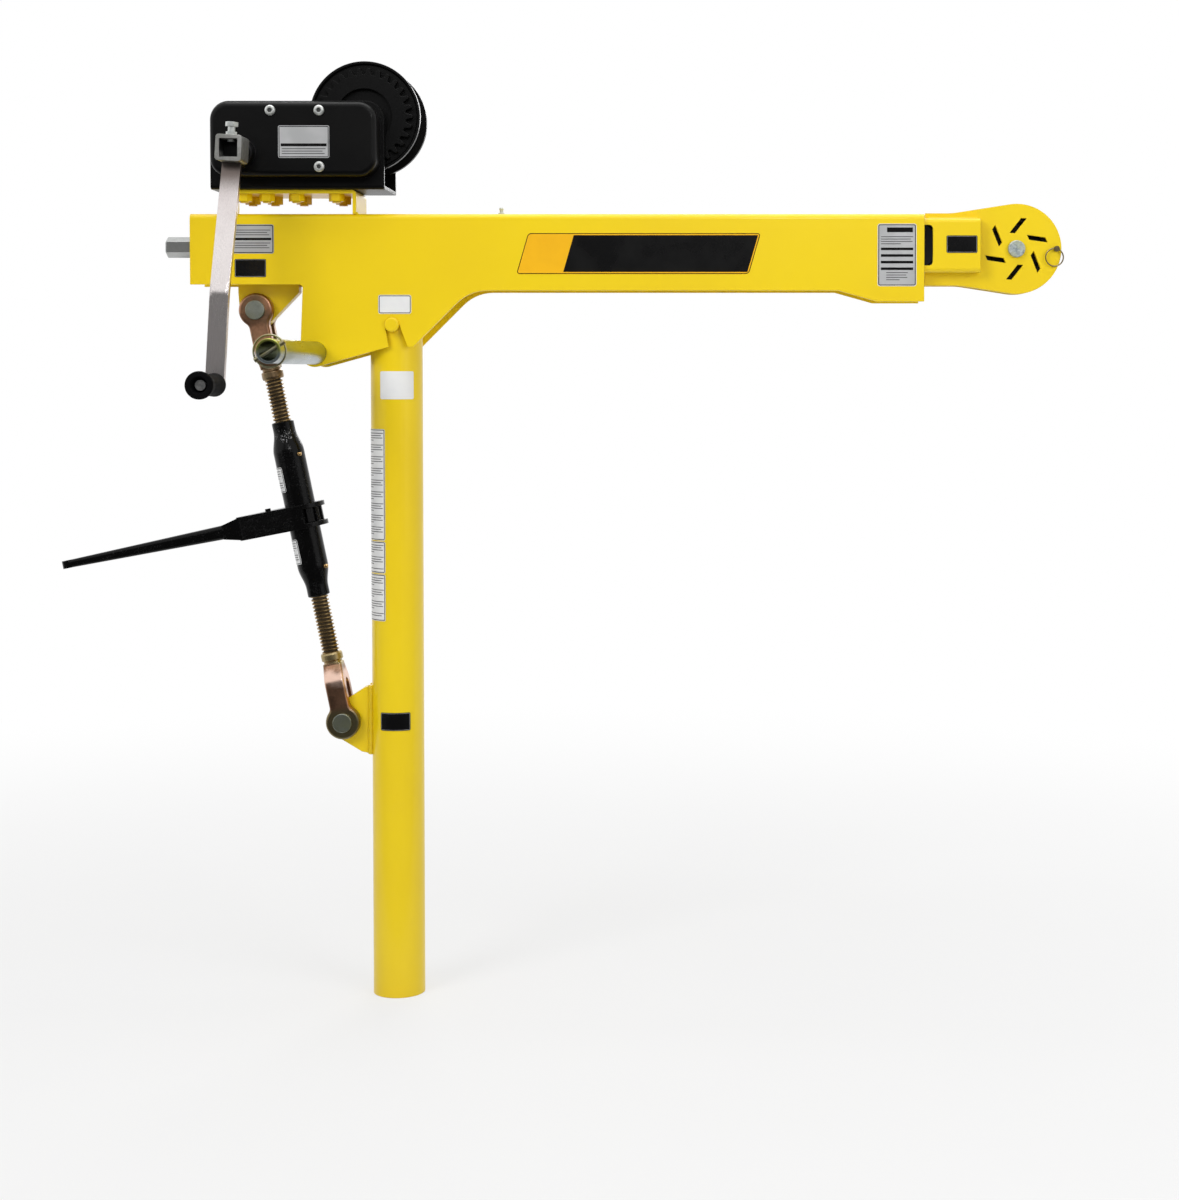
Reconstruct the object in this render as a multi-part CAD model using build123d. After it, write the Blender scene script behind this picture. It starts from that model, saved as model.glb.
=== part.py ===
from build123d import *
from math import acos, atan2, cos, degrees, hypot, radians, sin
import os

# Telescoping davit crane: a mast, a boom hooked over the mast pin, a hand
# winch on the boom and a ratchet turnbuckle that sets the boom angle.
# Millimetres. The origin is the middle of the mast's flat foot, +Z runs up
# the mast, +X points along the boom to its head, and the winch's crank is
# on the -Y side.

# Clearances
running_gap = 0.06
seat_gap = 0.3
swing_gap = 1.0

# Mast
mast_od = 73.0
mast_wall = 6.4
pivot_height = 950.0
head_above_pivot = 24.0
foot_plug_thickness = 12.0
mast_pin_d = 20.6
mast_pin_stand_out = 5.0
mast_pin_dome = 3.0
mast_lug_above_eye = 48.0
mast_lug_below_eye = 43.2
mast_lug_top_reach = 10.0
mast_lug_foot_reach = 14.0
mast_lug_root_margin = 4.5

# Boom shell
boom_inside_width = 77.2
boom_plate = 4.8
boom_rise = 154.5
boom_rear = 281.0
boom_front = 742.5
boom_edge_radius = 7.0
boom_corner_radius = 5.0
rear_skirt_rise = 56.0
front_skirt_rise = 47.5
lip_rise = 32.4
lip_length = 66.0
lip_slope_length = 54.0
rear_plate_thickness = 8.0
rear_plate_inset = 3.0
boom_lug_front_gap = 12.0
boom_lug_rear_margin = 27.0
boom_lug_depth = 22.0
boom_lug_nose_radius = 25.0

# Cheeks, measured from the mast pin
cheek_rear = 124.0
cheek_lean = 5.0
cheek_corner_radius = 20.0
cheek_foot_drop = 31.0
cheek_foot_front = 29.6
cheek_slope_radius = 60.0
slot_foot_rear = 4.5
slot_foot_front = 22.0

# Telescoping tube and its drive shaft
inner_side = 76.0
inner_wall = 4.8
inner_corner_radius = 6.0
inner_inside_radius = 2.2
inner_reach = 79.0
inner_length = 1000.0
roof_gap = 0.6
lock_slot_height = 57.0
lock_slot_reach = 12.5
lock_slot_width = 30.0
drive_shaft_across_flats = 25.4
drive_shaft_stand_out = 42.5
drive_journal_d = 20.0
drive_end_chamfer = 1.5
drive_shaft_drop = 44.5

# Head plates, rope sheave and rope keeper
head_plate = 6.0
head_plate_gap = 24.0
head_plate_margin = 3.5
head_plate_top_rise = 7.2
head_plate_depth = 101.5
head_flat_top = 38.0
head_flat_bottom = 48.0
head_bend_radius = 90.0
sheave_reach = 132.0
sheave_drop = 47.5
head_radius = 63.3
sheave_radius = 51.0
sheave_groove_radius = 5.0
sheave_hub_radius = 16.0
sheave_web_radius = 21.4
sheave_rim_radius = 35.7
sheave_rim_slope = 3.0
sheave_web_half = 6.6
sheave_bolt_d = 16.0
sheave_bolt_head_d = 24.0
sheave_bolt_head = 5.0
sheave_bolt_dome = 1.5
sheave_bolt_tail = 14.0
sheave_nut_flats = 24.0
sheave_nut = 10.0
sheave_washer_radius = 15.0
sheave_washer = 2.0
vane_count = 6
vane_radius = 32.7
vane_length = 21.8
vane_width = 7.8
vane_skew = 14.9
vane_start_angle = 86.0
keeper_radius = 56.1
keeper_pin_d = 6.4
keeper_ring_radius = 12.4
keeper_ring_wire = 1.9
keeper_head_d = 8.0
keeper_head = 6.0
keeper_tail = 5.0
keeper_ring_hang = 14.8

# Turnbuckle
lower_eye_x = -75.4
lower_eye_drop = 561.5
upper_eye_x = -194.6
upper_eye_rise = 21.0
eye_radius = 24.0
lug_plate = 19.0
jaw_arm = 14.0
jaw_slot_length = 60.0
jaw_shoulder = 82.0
jaw_shoulder_radius = 16.0
jaw_knee_drop = 18.0
jaw_waist_radius = 11.0
jaw_neck_start = 83.9
jaw_neck_d = 26.4
jaw_length = 98.9
jaw_arm_width = 28.0
jaw_edge_radius = 4.0
jaw_collar_d = 30.4
jaw_collar = 5.0
screw_d = 25.0
screw_in_barrel = 68.0
screw_end_chamfer = 2.0
lower_thread_shown = 82.7
barrel_length = 252.4
barrel_d = 43.0
barrel_mouth_d = 31.0
barrel_taper = 46.0
barrel_mouth_length = 16.0
clevis_pin_d = 19.0
clevis_head_d = 27.0
clevis_head = 4.0
clevis_tail = 9.0
clevis_end_chamfer = 1.5
clevis_washer_d = 31.0
clevis_washer = 2.5
split_pin_d = 3.6
split_pin_length = 27.0
link_play = 3.9
link_offset_x = 3.53
link_offset_z = 0.82

# Ratchet
ratchet_teeth = 12
ratchet_radius = 29.5
ratchet_tooth = 4.0
ratchet_width = 20.0
ratchet_plate = 6.5
ratchet_plate_radius = 34.0
ratchet_plate_reach = 78.0
ratchet_plate_end_radius = 15.0
ratchet_wall = 3.0
ratchet_window_x = 8.0
ratchet_root_share = 0.32
ratchet_tip_share = 0.2
pawl_width = 16.0
pawl_pivot_d = 8.0
pawl_pivot_head = 3.5
ratchet_above_centre = -10.9
handle_reach = 348.0
handle_neck_start = 66.0
handle_shoulder = 85.0
handle_root = 113.0
handle_root_height = 20.0
handle_root_width = 24.0
handle_tip_height = 11.0
handle_tip_width = 18.0

# Pull handle through the cheeks
pull_axis_x = -107.4
pull_axis_drop = 39.6
pull_tube_od = 31.8
pull_tube_wall = 3.4
pull_tube_reach = 303.0
pull_pin_d = 6.0
pull_ring_wire = 2.6
pull_ring_gap = 4.5
pull_pin_inset = 9.0
pull_pin_past_ring = 2.0
pull_pin_lean = 58.0
pull_tube_chamfer = 0.8

# Grease nipple on the boom
nipple_x = 149.0
nipple_height = 11.5
nipple_base_radius = 4.5
nipple_base = 4.0
nipple_neck_radius = 2.6
nipple_ball_radius = 3.4

# Winch and its stand
stand_rear_x = -236.0
stand_front_x = -49.0
stand_height = 33.0
stand_plate = 5.0
stand_half_width = 43.0
stand_bolt_d = 12.0
stand_bolt_row = 27.0
stand_nut_flats = 19.0
stand_nut = 10.0
stand_bolt_head = 6.0
stand_bolt_head_d = 19.2
stand_bolt_dome = 1.5
stand_bolt_shares = (0.15, 0.32, 0.54, 0.84)
frame_rear_x = -249.0
frame_front_x = -8.0
frame_half_width = 54.0
frame_plate = 5.0
frame_height = 122.0
frame_corner_radius = 26.0
cover_depth = 31.0
cover_wall = 3.0
cover_margin_x = 6.0
cover_bottom = 15.5
cover_height = 102.0
cover_corner_radius = 25.0
cover_edge_radius = 7.0
cover_screw_d = 14.5
cover_screw_head = 4.5
cover_screw_dome = 2.7
cover_screw_shank_d = 8.0
cover_screw_socket = 6.0
cover_screw_margin = 12.5
cover_screw_rear_x = -159.0
cover_screw_front_x = -92.0
crank_axis_x = -200.5
crank_axis_rise = 46.8
drum_axis_x = -37.3
drum_axis_rise = 102.0
drum_flange_radius = 77.0
drum_flange = 4.0
drum_rope_width = 60.0
drum_core_radius = 30.0
drum_core_wall = 5.0
drum_axle_d = 20.0
drum_axle_tail = 12.0
drum_axle_nut_flats = 30.0
drum_axle_nut = 10.0
drum_rim_width = 8.0
drum_rim_wall = 3.0
gear_teeth = 30
gear_radius = 67.0
gear_tooth = 9.0
gear_width = 9.0
gear_bore_radius = 38.5
gear_root_share = 0.34
gear_tip_share = 0.14

# Crank
crank_lean = 3.4
hub_boss_radius = 21.0
hub_boss_depth = 22.0
hub_boss_edge = 3.0
hub_journal_d = 34.5
hub_side = 35.0
hub_bore_side = 24.0
hub_depth = 45.0
hub_gap = 3.0
hub_corner_radius = 4.0
hub_bore_corner_radius = 1.5
hub_shaft_share = 0.45
hub_bolt_d = 10.0
hub_bolt_forward = 8.0
hub_bolt_rise = 12.0
hub_bolt_head = 6.0
hub_bolt_flats = 15.0
hub_nut = 5.0
hub_nut_flats = 13.0
crank_arm_width = 25.3
crank_arm_thickness = 9.0
crank_bend_drop = 194.0
crank_reach = 318.0
crank_arm_set = 26.0
grip_length = 84.0
grip_radius = 18.5
grip_waist_radius = 14.5
grip_spindle_d = 10.0
grip_rim = 5.0
grip_recess = 13.0
grip_recess_radius = 10.5
grip_head_d = 14.0
grip_head = 4.0
grip_nut_flats = 16.0
grip_nut = 6.0

# Values that follow from the sizes above
mast_radius = mast_od / 2
mast_height = pivot_height + head_above_pivot
boom_half_inside = boom_inside_width / 2
boom_half = boom_half_inside + boom_plate
boom_top = pivot_height + boom_rise
boom_ceiling = boom_top - boom_plate
inner_top = boom_ceiling - roof_gap
inner_bottom = inner_top - inner_side
floor_top = inner_bottom - seat_gap
floor_bottom = floor_top - boom_plate
inner_tip = boom_front + inner_reach
drive_axis_z = boom_top - drive_shaft_drop
head_axis_x = boom_front + sheave_reach
head_axis_z = boom_top - sheave_drop
head_plate_inside = head_plate_gap / 2
head_plate_outside = head_plate_inside + head_plate
lower_eye_z = pivot_height - lower_eye_drop
upper_eye_z = pivot_height + upper_eye_rise
link_length = hypot(upper_eye_x - lower_eye_x, upper_eye_z - lower_eye_z)
link_lean = degrees(atan2(lower_eye_x - upper_eye_x, upper_eye_z - lower_eye_z))
jaw_gap = lug_plate + 2 * swing_gap
jaw_half = jaw_gap / 2 + jaw_arm
barrel_bottom = jaw_length + lower_thread_shown
barrel_top = barrel_bottom + barrel_length
ratchet_height = (barrel_bottom + barrel_top) / 2 + ratchet_above_centre
pawl_x = -(ratchet_radius + ratchet_plate_reach - ratchet_plate_end_radius) / 2
pull_axis_z = pivot_height - pull_axis_drop
stand_top = boom_top + stand_height
cover_face = frame_half_width + cover_depth
crank_axis_z = stand_top + crank_axis_rise
drum_axis_z = stand_top + drum_axis_rise
hub_back = cover_face + hub_boss_depth + hub_gap
hub_front = hub_back + hub_depth
hub_bolt_y = -(hub_front + hub_back) / 2 - hub_bolt_forward


def slab(outline, y_low, y_high):
    """Solid of an outline drawn in X and Z, between two Y values."""
    return extrude(Plane.XZ.offset(-y_high) * outline, amount=y_high - y_low)


def slab_x(outline, x_low, x_high):
    """Solid of an outline drawn in Y and Z, between two X values."""
    return extrude(Plane.YZ.offset(x_low) * outline, amount=x_high - x_low)


def block(x_low, x_high, y_low, y_high, z_low, z_high):
    """Rectangular block between its corners."""
    middle = Pos((x_low + x_high) / 2, (y_low + y_high) / 2, (z_low + z_high) / 2)
    return middle * Box(x_high - x_low, y_high - y_low, z_high - z_low)


def rod_y(radius, y_low, y_high, x=0.0, z=0.0):
    """Round rod along Y."""
    return Pos(x, (y_low + y_high) / 2, z) * Rot(90, 0, 0) * Cylinder(radius, y_high - y_low)


def rod_x(radius, x_low, x_high, y=0.0, z=0.0):
    """Round rod along X."""
    return Pos((x_low + x_high) / 2, y, z) * Rot(0, 90, 0) * Cylinder(radius, x_high - x_low)


def rod_z(radius, z_low, z_high, x=0.0, y=0.0):
    """Round rod along Z."""
    return Pos(x, y, (z_low + z_high) / 2) * Cylinder(radius, z_high - z_low)


def turned(profile):
    """Solid turned about Z from points of radius and height."""
    return revolve(Plane.XZ * Polygon(*profile, align=None), Axis.Z)


def turned_y(profile, x, z):
    """Solid turned about a line along Y, from points of radius and Y."""
    mirrored = [(radius, -y) for radius, y in profile]
    return Pos(x, 0, z) * Rot(90, 0, 0) * turned(mirrored)


def disc(radius, x=0.0, z=0.0):
    """Flat disc in the drawing plane."""
    return Pos(x, z) * Circle(radius)


def hull_of(radius, x, z, corners):
    """Outline stretched round a circle and a few corners."""
    points = Polygon(*corners, align=None)
    return make_hull(disc(radius, x, z).edges() + points.edges())


def rounded(outline, x, z, radius):
    """Outline with the corner nearest to a point rounded."""
    corner = outline.vertices().sort_by_distance(Vector(x, z, 0))[0]
    return fillet(corner, radius)


def on_link(shape):
    """Shape drawn about the turnbuckle's own axis, set in its place."""
    return Pos(lower_eye_x, 0, lower_eye_z) * Rot(0, -link_lean, 0) * shape


def gear_outline(teeth, radius, tooth, root_share, tip_share):
    """Outline of a toothed wheel with straight flanks."""
    points = []
    pitch = 360.0 / teeth
    for tooth_number in range(teeth):
        middle = tooth_number * pitch
        for share, reach in (
            (-root_share, radius - tooth),
            (-tip_share, radius),
            (tip_share, radius),
            (root_share, radius - tooth),
        ):
            angle = radians(middle + share * pitch)
            points.append((reach * cos(angle), reach * sin(angle)))
    return Polygon(*points, align=None)


# Mast


def mast_tube():
    """Tube from the foot to the head, drilled across for the pin."""
    tube = rod_z(mast_radius, 0, mast_height) - rod_z(mast_radius - mast_wall, 0, mast_height)
    return tube - rod_y(mast_pin_d / 2, -mast_od, mast_od, z=pivot_height)


def foot_plug():
    """Disc that closes the foot, flush with the tube's end."""
    return rod_z(mast_radius - mast_wall, 0, foot_plug_thickness)


def mast_pin():
    """Cross pin with domed ends that the boom hooks over."""
    half = boom_half + mast_pin_stand_out
    pin = rod_y(mast_pin_d / 2, -half, half, z=pivot_height)
    rims = pin.edges().filter_by(GeomType.CIRCLE)
    return fillet(rims, mast_pin_dome)


def mast_lug():
    """Plate on the mast's rear side that carries the lower jaw."""
    root = -mast_radius + mast_wall
    foot = lower_eye_z - mast_lug_below_eye
    top = lower_eye_z + mast_lug_above_eye
    corners = [
        (root, foot - mast_lug_root_margin),
        (root, top + mast_lug_root_margin),
        (-mast_radius - mast_lug_top_reach, top),
        (-mast_radius - mast_lug_foot_reach, foot),
    ]
    outline = hull_of(eye_radius, lower_eye_x, lower_eye_z, corners)
    lug = slab(outline, -lug_plate / 2, lug_plate / 2)
    lug -= rod_z(mast_radius, foot - mast_od, top + mast_od)
    hole = clevis_pin_d / 2 + running_gap
    return lug - rod_y(hole, -lug_plate, lug_plate, lower_eye_x, lower_eye_z)


# Boom


def boom_side_outline():
    """Side of the boom with its cheeks, hook slot and front lip."""
    pin_z = pivot_height
    slot_radius = mast_pin_d / 2 + running_gap
    slope_run = front_skirt_rise + cheek_foot_drop
    lower_slope = (cheek_foot_drop - pull_axis_drop - cheek_corner_radius) / (pull_axis_x + slot_foot_rear)
    corner_x = -cheek_rear - cheek_lean
    corner_z = pin_z - cheek_foot_drop + lower_slope * (corner_x + slot_foot_rear)
    points = [
        (-boom_rear, boom_top),
        (-boom_rear, pin_z + rear_skirt_rise),
        (-cheek_rear, pin_z + rear_skirt_rise),
        (corner_x, corner_z),
        (-slot_foot_rear, pin_z - cheek_foot_drop),
        (-slot_radius, pin_z),
        (slot_radius, pin_z),
        (slot_foot_front, pin_z - cheek_foot_drop),
        (cheek_foot_front, pin_z - cheek_foot_drop),
        (cheek_foot_front + slope_run, pin_z + front_skirt_rise),
        (boom_front - lip_length - lip_slope_length, pin_z + front_skirt_rise),
        (boom_front - lip_length, pin_z + lip_rise),
        (boom_front, pin_z + lip_rise),
        (boom_front, boom_top),
    ]
    outline = Polygon(*points, align=None)
    outline = rounded(outline, corner_x, corner_z, cheek_corner_radius)
    outline = rounded(outline, -cheek_rear, pin_z + rear_skirt_rise, boom_corner_radius)
    outline = rounded(outline, cheek_foot_front + slope_run, pin_z + front_skirt_rise, cheek_slope_radius)
    return outline - disc(slot_radius, 0, pin_z)


def boom_shell():
    """Folded plate, open below, whose sides reach down as cheeks."""
    shell = slab(boom_side_outline(), -boom_half, boom_half)
    long_edges = shell.edges().filter_by(Axis.X).group_by(Axis.Z)[-1]
    shell = fillet(long_edges, boom_edge_radius)
    room_low = pivot_height - boom_rise
    shell -= block(
        -boom_rear - 1, boom_front + 1, -boom_half_inside, boom_half_inside, room_low, boom_ceiling
    )
    socket = pull_tube_od / 2 + running_gap
    return shell - rod_y(socket, -2 * boom_half, 2 * boom_half, pull_axis_x, pull_axis_z)


def boom_floor():
    """Plate between the sides that the telescoping tube slides on."""
    return block(
        -boom_rear, boom_front, -boom_half_inside, boom_half_inside, floor_bottom, floor_top
    )


def rear_plate():
    """End plate that carries the drive shaft."""
    start = -boom_rear + rear_plate_inset
    plate = block(
        start, start + rear_plate_thickness, -boom_half_inside, boom_half_inside, floor_top, boom_ceiling
    )
    bore = drive_journal_d / 2 + running_gap
    return plate - rod_x(bore, start - 1, start + 2 * rear_plate_thickness, z=drive_axis_z)


def drive_shaft():
    """Hexagonal shaft end that runs the telescoping tube in and out."""
    face = -boom_rear + rear_plate_inset - seat_gap
    back = face + seat_gap + rear_plate_thickness + seat_gap
    hexagon = RegularPolygon(drive_shaft_across_flats / 2, 6, major_radius=False, rotation=30)
    end = -boom_rear - drive_shaft_stand_out
    shaft = Pos(0, 0, drive_axis_z) * slab_x(hexagon, end, face)
    shaft = chamfer(shaft.faces().sort_by(Axis.X)[0].edges(), drive_end_chamfer)
    journal = rod_x(drive_journal_d / 2, face, back, z=drive_axis_z)
    collar = rod_x(drive_shaft_across_flats / 2, back, back + rear_plate_thickness, z=drive_axis_z)
    return shaft + journal + collar


def boom_lug():
    """Plate under the boom that the upper jaw straddles."""
    front_x = -cheek_rear - boom_lug_front_gap
    rear_x = upper_eye_x - boom_lug_rear_margin
    knee_z = floor_bottom - boom_lug_depth
    corners = [
        (rear_x, floor_bottom),
        (front_x, floor_bottom),
        (front_x, knee_z),
        (rear_x, knee_z),
    ]
    outline = hull_of(boom_lug_nose_radius, upper_eye_x, upper_eye_z, corners)
    lug = slab(outline, -lug_plate / 2, lug_plate / 2)
    hole_x = upper_eye_x + link_offset_x
    hole_z = upper_eye_z + link_offset_z
    return lug - rod_y(clevis_pin_d / 2 + link_play, -lug_plate, lug_plate, hole_x, hole_z)


def pull_tube():
    """Zinc-plated tube through both cheeks, for turning the boom by hand."""
    end = -boom_half - pull_tube_reach
    radius = pull_tube_od / 2
    tube = rod_y(radius, end, boom_half + seat_gap, pull_axis_x, pull_axis_z)
    tube = chamfer(tube.edges().filter_by(GeomType.CIRCLE), pull_tube_chamfer)
    tube -= rod_y(radius - pull_tube_wall, end - 1, 2 * boom_half, pull_axis_x, pull_axis_z)
    return tube - pull_cross_pin(radius + 1)


def pull_cross_pin(half_length):
    """Straight cross pin of the tube's end, leaning as it hangs."""
    place = Pos(pull_axis_x, -boom_half - pull_tube_reach + pull_pin_inset, pull_axis_z)
    return place * Rot(0, pull_pin_lean, 0) * Cylinder(pull_pin_d / 2, 2 * half_length)


def pull_pin():
    """Cross pin with the wire ring that snaps round the tube."""
    radius = pull_tube_od / 2
    ring_radius = radius + pull_ring_gap
    pin = pull_cross_pin(ring_radius + pull_pin_past_ring)
    place = Pos(pull_axis_x, -boom_half - pull_tube_reach + pull_pin_inset, pull_axis_z)
    ring = place * Rot(90, 0, 0) * Torus(ring_radius, pull_ring_wire / 2)
    return pin + ring


def grease_nipple():
    """Small fitting on top of the boom."""
    ball = nipple_height - nipple_ball_radius
    profile = [
        (0, 0),
        (nipple_base_radius, 0),
        (nipple_base_radius, nipple_base),
        (nipple_neck_radius, nipple_base + 1),
        (nipple_neck_radius, ball),
        (nipple_ball_radius, ball + 1),
        (nipple_neck_radius, nipple_height),
        (0, nipple_height),
    ]
    return Pos(nipple_x, 0, boom_top) * turned(profile)


# Telescoping tube and head


def inner_tube():
    """Square tube with a lock slot in each side and slits for the head plates."""
    half = inner_side / 2
    middle_z = (inner_top + inner_bottom) / 2
    section = RectangleRounded(inner_side, inner_side, inner_corner_radius)
    hollow = inner_side - 2 * inner_wall
    section -= RectangleRounded(hollow, hollow, inner_inside_radius)
    tube = Pos(0, 0, middle_z) * slab_x(section, inner_tip - inner_length, inner_tip)
    slot_x = boom_front + lock_slot_reach - lock_slot_width / 2
    slot = Pos(slot_x, middle_z) * SlotOverall(lock_slot_height, lock_slot_width, rotation=90)
    tube -= slab(slot, -2 * half, 2 * half)
    for side in (-1, 1):
        low, high = sorted((side * head_plate_inside, side * head_plate_outside))
        slit_start = boom_front + head_plate_margin
        tube -= block(slit_start, inner_tip + 1, low, high, 0, 2 * boom_top)
    return tube


def vane_hole(number):
    """One slanted window of the head plate's pinwheel."""
    inner = vane_radius - vane_length / 2
    outer = vane_radius + vane_length / 2
    skew = vane_skew / 2
    half = vane_width / 2
    corners = [
        (inner, skew - half),
        (inner, skew + half),
        (outer, half - skew),
        (outer, -half - skew),
    ]
    window = Rot(0, 0, vane_start_angle + 360.0 / vane_count * number) * Polygon(*corners, align=None)
    return Pos(head_axis_x, head_axis_z) * window


def head_tangent(x, z, side):
    """Where a line from a point touches the round end of the head plate."""
    distance = hypot(x - head_axis_x, z - head_axis_z)
    angle = atan2(z - head_axis_z, x - head_axis_x) + side * acos(head_radius / distance)
    return (head_axis_x + head_radius * cos(angle), head_axis_z + head_radius * sin(angle))


def head_plate_outline():
    """Plate that swells from its flat root to the round end over the sheave."""
    start = boom_front + head_plate_margin
    top = boom_ceiling + head_plate_top_rise
    bottom = top - head_plate_depth
    top_bend = (start + head_flat_top, top)
    bottom_bend = (start + head_flat_bottom, bottom)
    points = [(start, top), (start, bottom), bottom_bend, head_tangent(*bottom_bend, 1)]
    points += [head_tangent(*top_bend, -1), top_bend]
    outline = Polygon(*points, align=None) + disc(head_radius, head_axis_x, head_axis_z)
    for x, z in (top_bend, bottom_bend):
        outline = rounded(outline, x, z, head_bend_radius)
    outline -= disc(sheave_bolt_d / 2, head_axis_x, head_axis_z)
    outline -= disc(keeper_pin_d / 2 + running_gap, head_axis_x + keeper_radius, head_axis_z)
    for number in range(vane_count):
        outline -= vane_hole(number)
    return outline


def head_side(side):
    """Near or far head plate."""
    low, high = sorted((side * head_plate_inside, side * head_plate_outside))
    return slab(head_plate_outline(), low, high)


def sheave():
    """Grooved rope wheel with a hub."""
    half = head_plate_inside - swing_gap
    hub = head_plate_inside - seat_gap
    bore = sheave_bolt_d / 2 + running_gap
    rim = sheave_rim_radius + sheave_rim_slope
    profile = [
        (bore, -hub),
        (sheave_hub_radius, -hub),
        (sheave_web_radius, -sheave_web_half),
        (sheave_rim_radius, -sheave_web_half),
        (rim, -half),
        (sheave_radius, -half),
        (sheave_radius, half),
        (rim, half),
        (sheave_rim_radius, sheave_web_half),
        (sheave_web_radius, sheave_web_half),
        (sheave_hub_radius, hub),
        (bore, hub),
    ]
    wheel = turned_y(profile, head_axis_x, head_axis_z)
    groove = Pos(head_axis_x, 0, head_axis_z) * Rot(90, 0, 0) * Torus(sheave_radius, sheave_groove_radius)
    return wheel - groove


def sheave_bolt():
    """Bolt through the head plates with its round head, washer and nut."""
    outside = head_plate_outside
    bolt = rod_y(sheave_bolt_d / 2, -outside, outside + sheave_bolt_tail, head_axis_x, head_axis_z)
    head = rod_y(sheave_bolt_head_d / 2, -outside - sheave_bolt_head, -outside, head_axis_x, head_axis_z)
    head = fillet(head.edges().group_by(Axis.Y)[0], sheave_bolt_dome)
    hexagon = Pos(head_axis_x, head_axis_z) * RegularPolygon(sheave_nut_flats / 2, 6, major_radius=False)
    nut_face = outside + sheave_washer
    nut = slab(hexagon, nut_face, nut_face + sheave_nut)
    washer = rod_y(sheave_washer_radius, outside, nut_face, head_axis_x, head_axis_z)
    return bolt + head + nut + washer


def keeper_pin():
    """Quick-release pin in front of the sheave with its pull ring."""
    x = head_axis_x + keeper_radius
    near = -head_plate_outside - keeper_head
    pin = rod_y(keeper_pin_d / 2, near, head_plate_outside + keeper_tail, x, head_axis_z)
    head = rod_y(keeper_head_d / 2, near, -head_plate_outside - seat_gap, x, head_axis_z)
    hang = radians(keeper_ring_hang)
    ring_x = x - keeper_ring_radius * sin(hang)
    ring_z = head_axis_z - keeper_ring_radius * cos(hang)
    ring = Pos(ring_x, near + keeper_ring_wire, ring_z) * Rot(90, 0, 0)
    ring *= Torus(keeper_ring_radius, keeper_ring_wire / 2)
    return pin + head + ring


# Turnbuckle, drawn upright about its own axis with the lower eye at zero


def jaw_side():
    """Jaw seen along its pin: eye, waist, arms and shoulders."""
    arm = jaw_arm_width / 2
    neck = jaw_neck_d / 2
    knee = jaw_shoulder - jaw_knee_drop
    points = [(-arm, 0), (arm, 0), (arm, knee), (neck, jaw_neck_start), (-neck, jaw_neck_start), (-arm, knee)]
    side = Polygon(*points, align=None) + disc(eye_radius)
    waist = (eye_radius**2 - arm**2) ** 0.5
    for x in (-arm, arm):
        side = rounded(side, x, waist, jaw_waist_radius)
        side = rounded(side, x, knee, jaw_waist_radius)
    return side


def jaw_front():
    """Jaw seen across its pin: two arms that close into the neck."""
    neck = jaw_neck_d / 2
    foot = -eye_radius - 1
    points = [(-jaw_half, foot), (jaw_half, foot), (jaw_half, jaw_slot_length), (neck, jaw_shoulder)]
    points += [(neck, jaw_neck_start), (-neck, jaw_neck_start), (-neck, jaw_shoulder)]
    points.append((-jaw_half, jaw_slot_length))
    front = Polygon(*points, align=None)
    for x in (-jaw_half, jaw_half):
        front = rounded(front, x, jaw_slot_length, jaw_shoulder_radius)
    return front


def jaw():
    """Forged fork with its collar, the eye at zero and the neck upwards."""
    reach = 2 * eye_radius
    fork = slab(jaw_side(), -jaw_half, jaw_half) & slab_x(jaw_front(), -reach, reach)
    forged = fork.edges().filter_by(lambda edge: edge.center().Z < jaw_neck_start - 0.5)
    fork = fillet(forged, jaw_edge_radius)
    slot_top = jaw_slot_length - jaw_gap / 2
    slot = Pos(0, (slot_top - reach) / 2) * Rectangle(jaw_gap, slot_top + reach)
    slot += Pos(0, slot_top) * Circle(jaw_gap / 2)
    fork -= slab_x(slot, -reach, reach)
    waist = jaw_neck_d / 2 - 0.4
    collar = jaw_collar_d / 2
    profile = [
        (0, jaw_neck_start - jaw_collar),
        (waist, jaw_neck_start - jaw_collar),
        (waist, jaw_length - 2.4 * jaw_collar),
        (collar, jaw_length - 2 * jaw_collar),
        (collar, jaw_length - 0.5 * jaw_collar),
        (collar - 1, jaw_length),
        (0, jaw_length),
    ]
    return fork + turned(profile)


def pin_hole(radius):
    """Hole across a jaw's eye."""
    return rod_y(radius, -2 * jaw_half, 2 * jaw_half)


def lower_screw():
    """Lower jaw, turning on its clevis pin."""
    return on_link(jaw() - pin_hole(clevis_pin_d / 2 + running_gap))


def upper_screw():
    """Upper jaw, fast on its clevis pin."""
    fork = jaw() - pin_hole(clevis_pin_d / 2)
    return on_link(Pos(0, 0, link_length) * Rot(180, 0, 0) * fork)


def screw_rod(end):
    """Threaded rod of a jaw, from the end of the jaw's collar."""
    rod = rod_z(screw_d / 2, jaw_length, end)
    return chamfer(rod.faces().sort_by(Axis.Z)[-1].edges(), screw_end_chamfer)


def lower_rod():
    """Rod of the lower jaw, inside the barrel at its end."""
    return on_link(screw_rod(barrel_bottom + screw_in_barrel))


def upper_rod():
    """Rod of the upper jaw, inside the barrel at its end."""
    rod = screw_rod(link_length - barrel_top + screw_in_barrel)
    return on_link(Pos(0, 0, link_length) * Rot(180, 0, 0) * rod)


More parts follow.
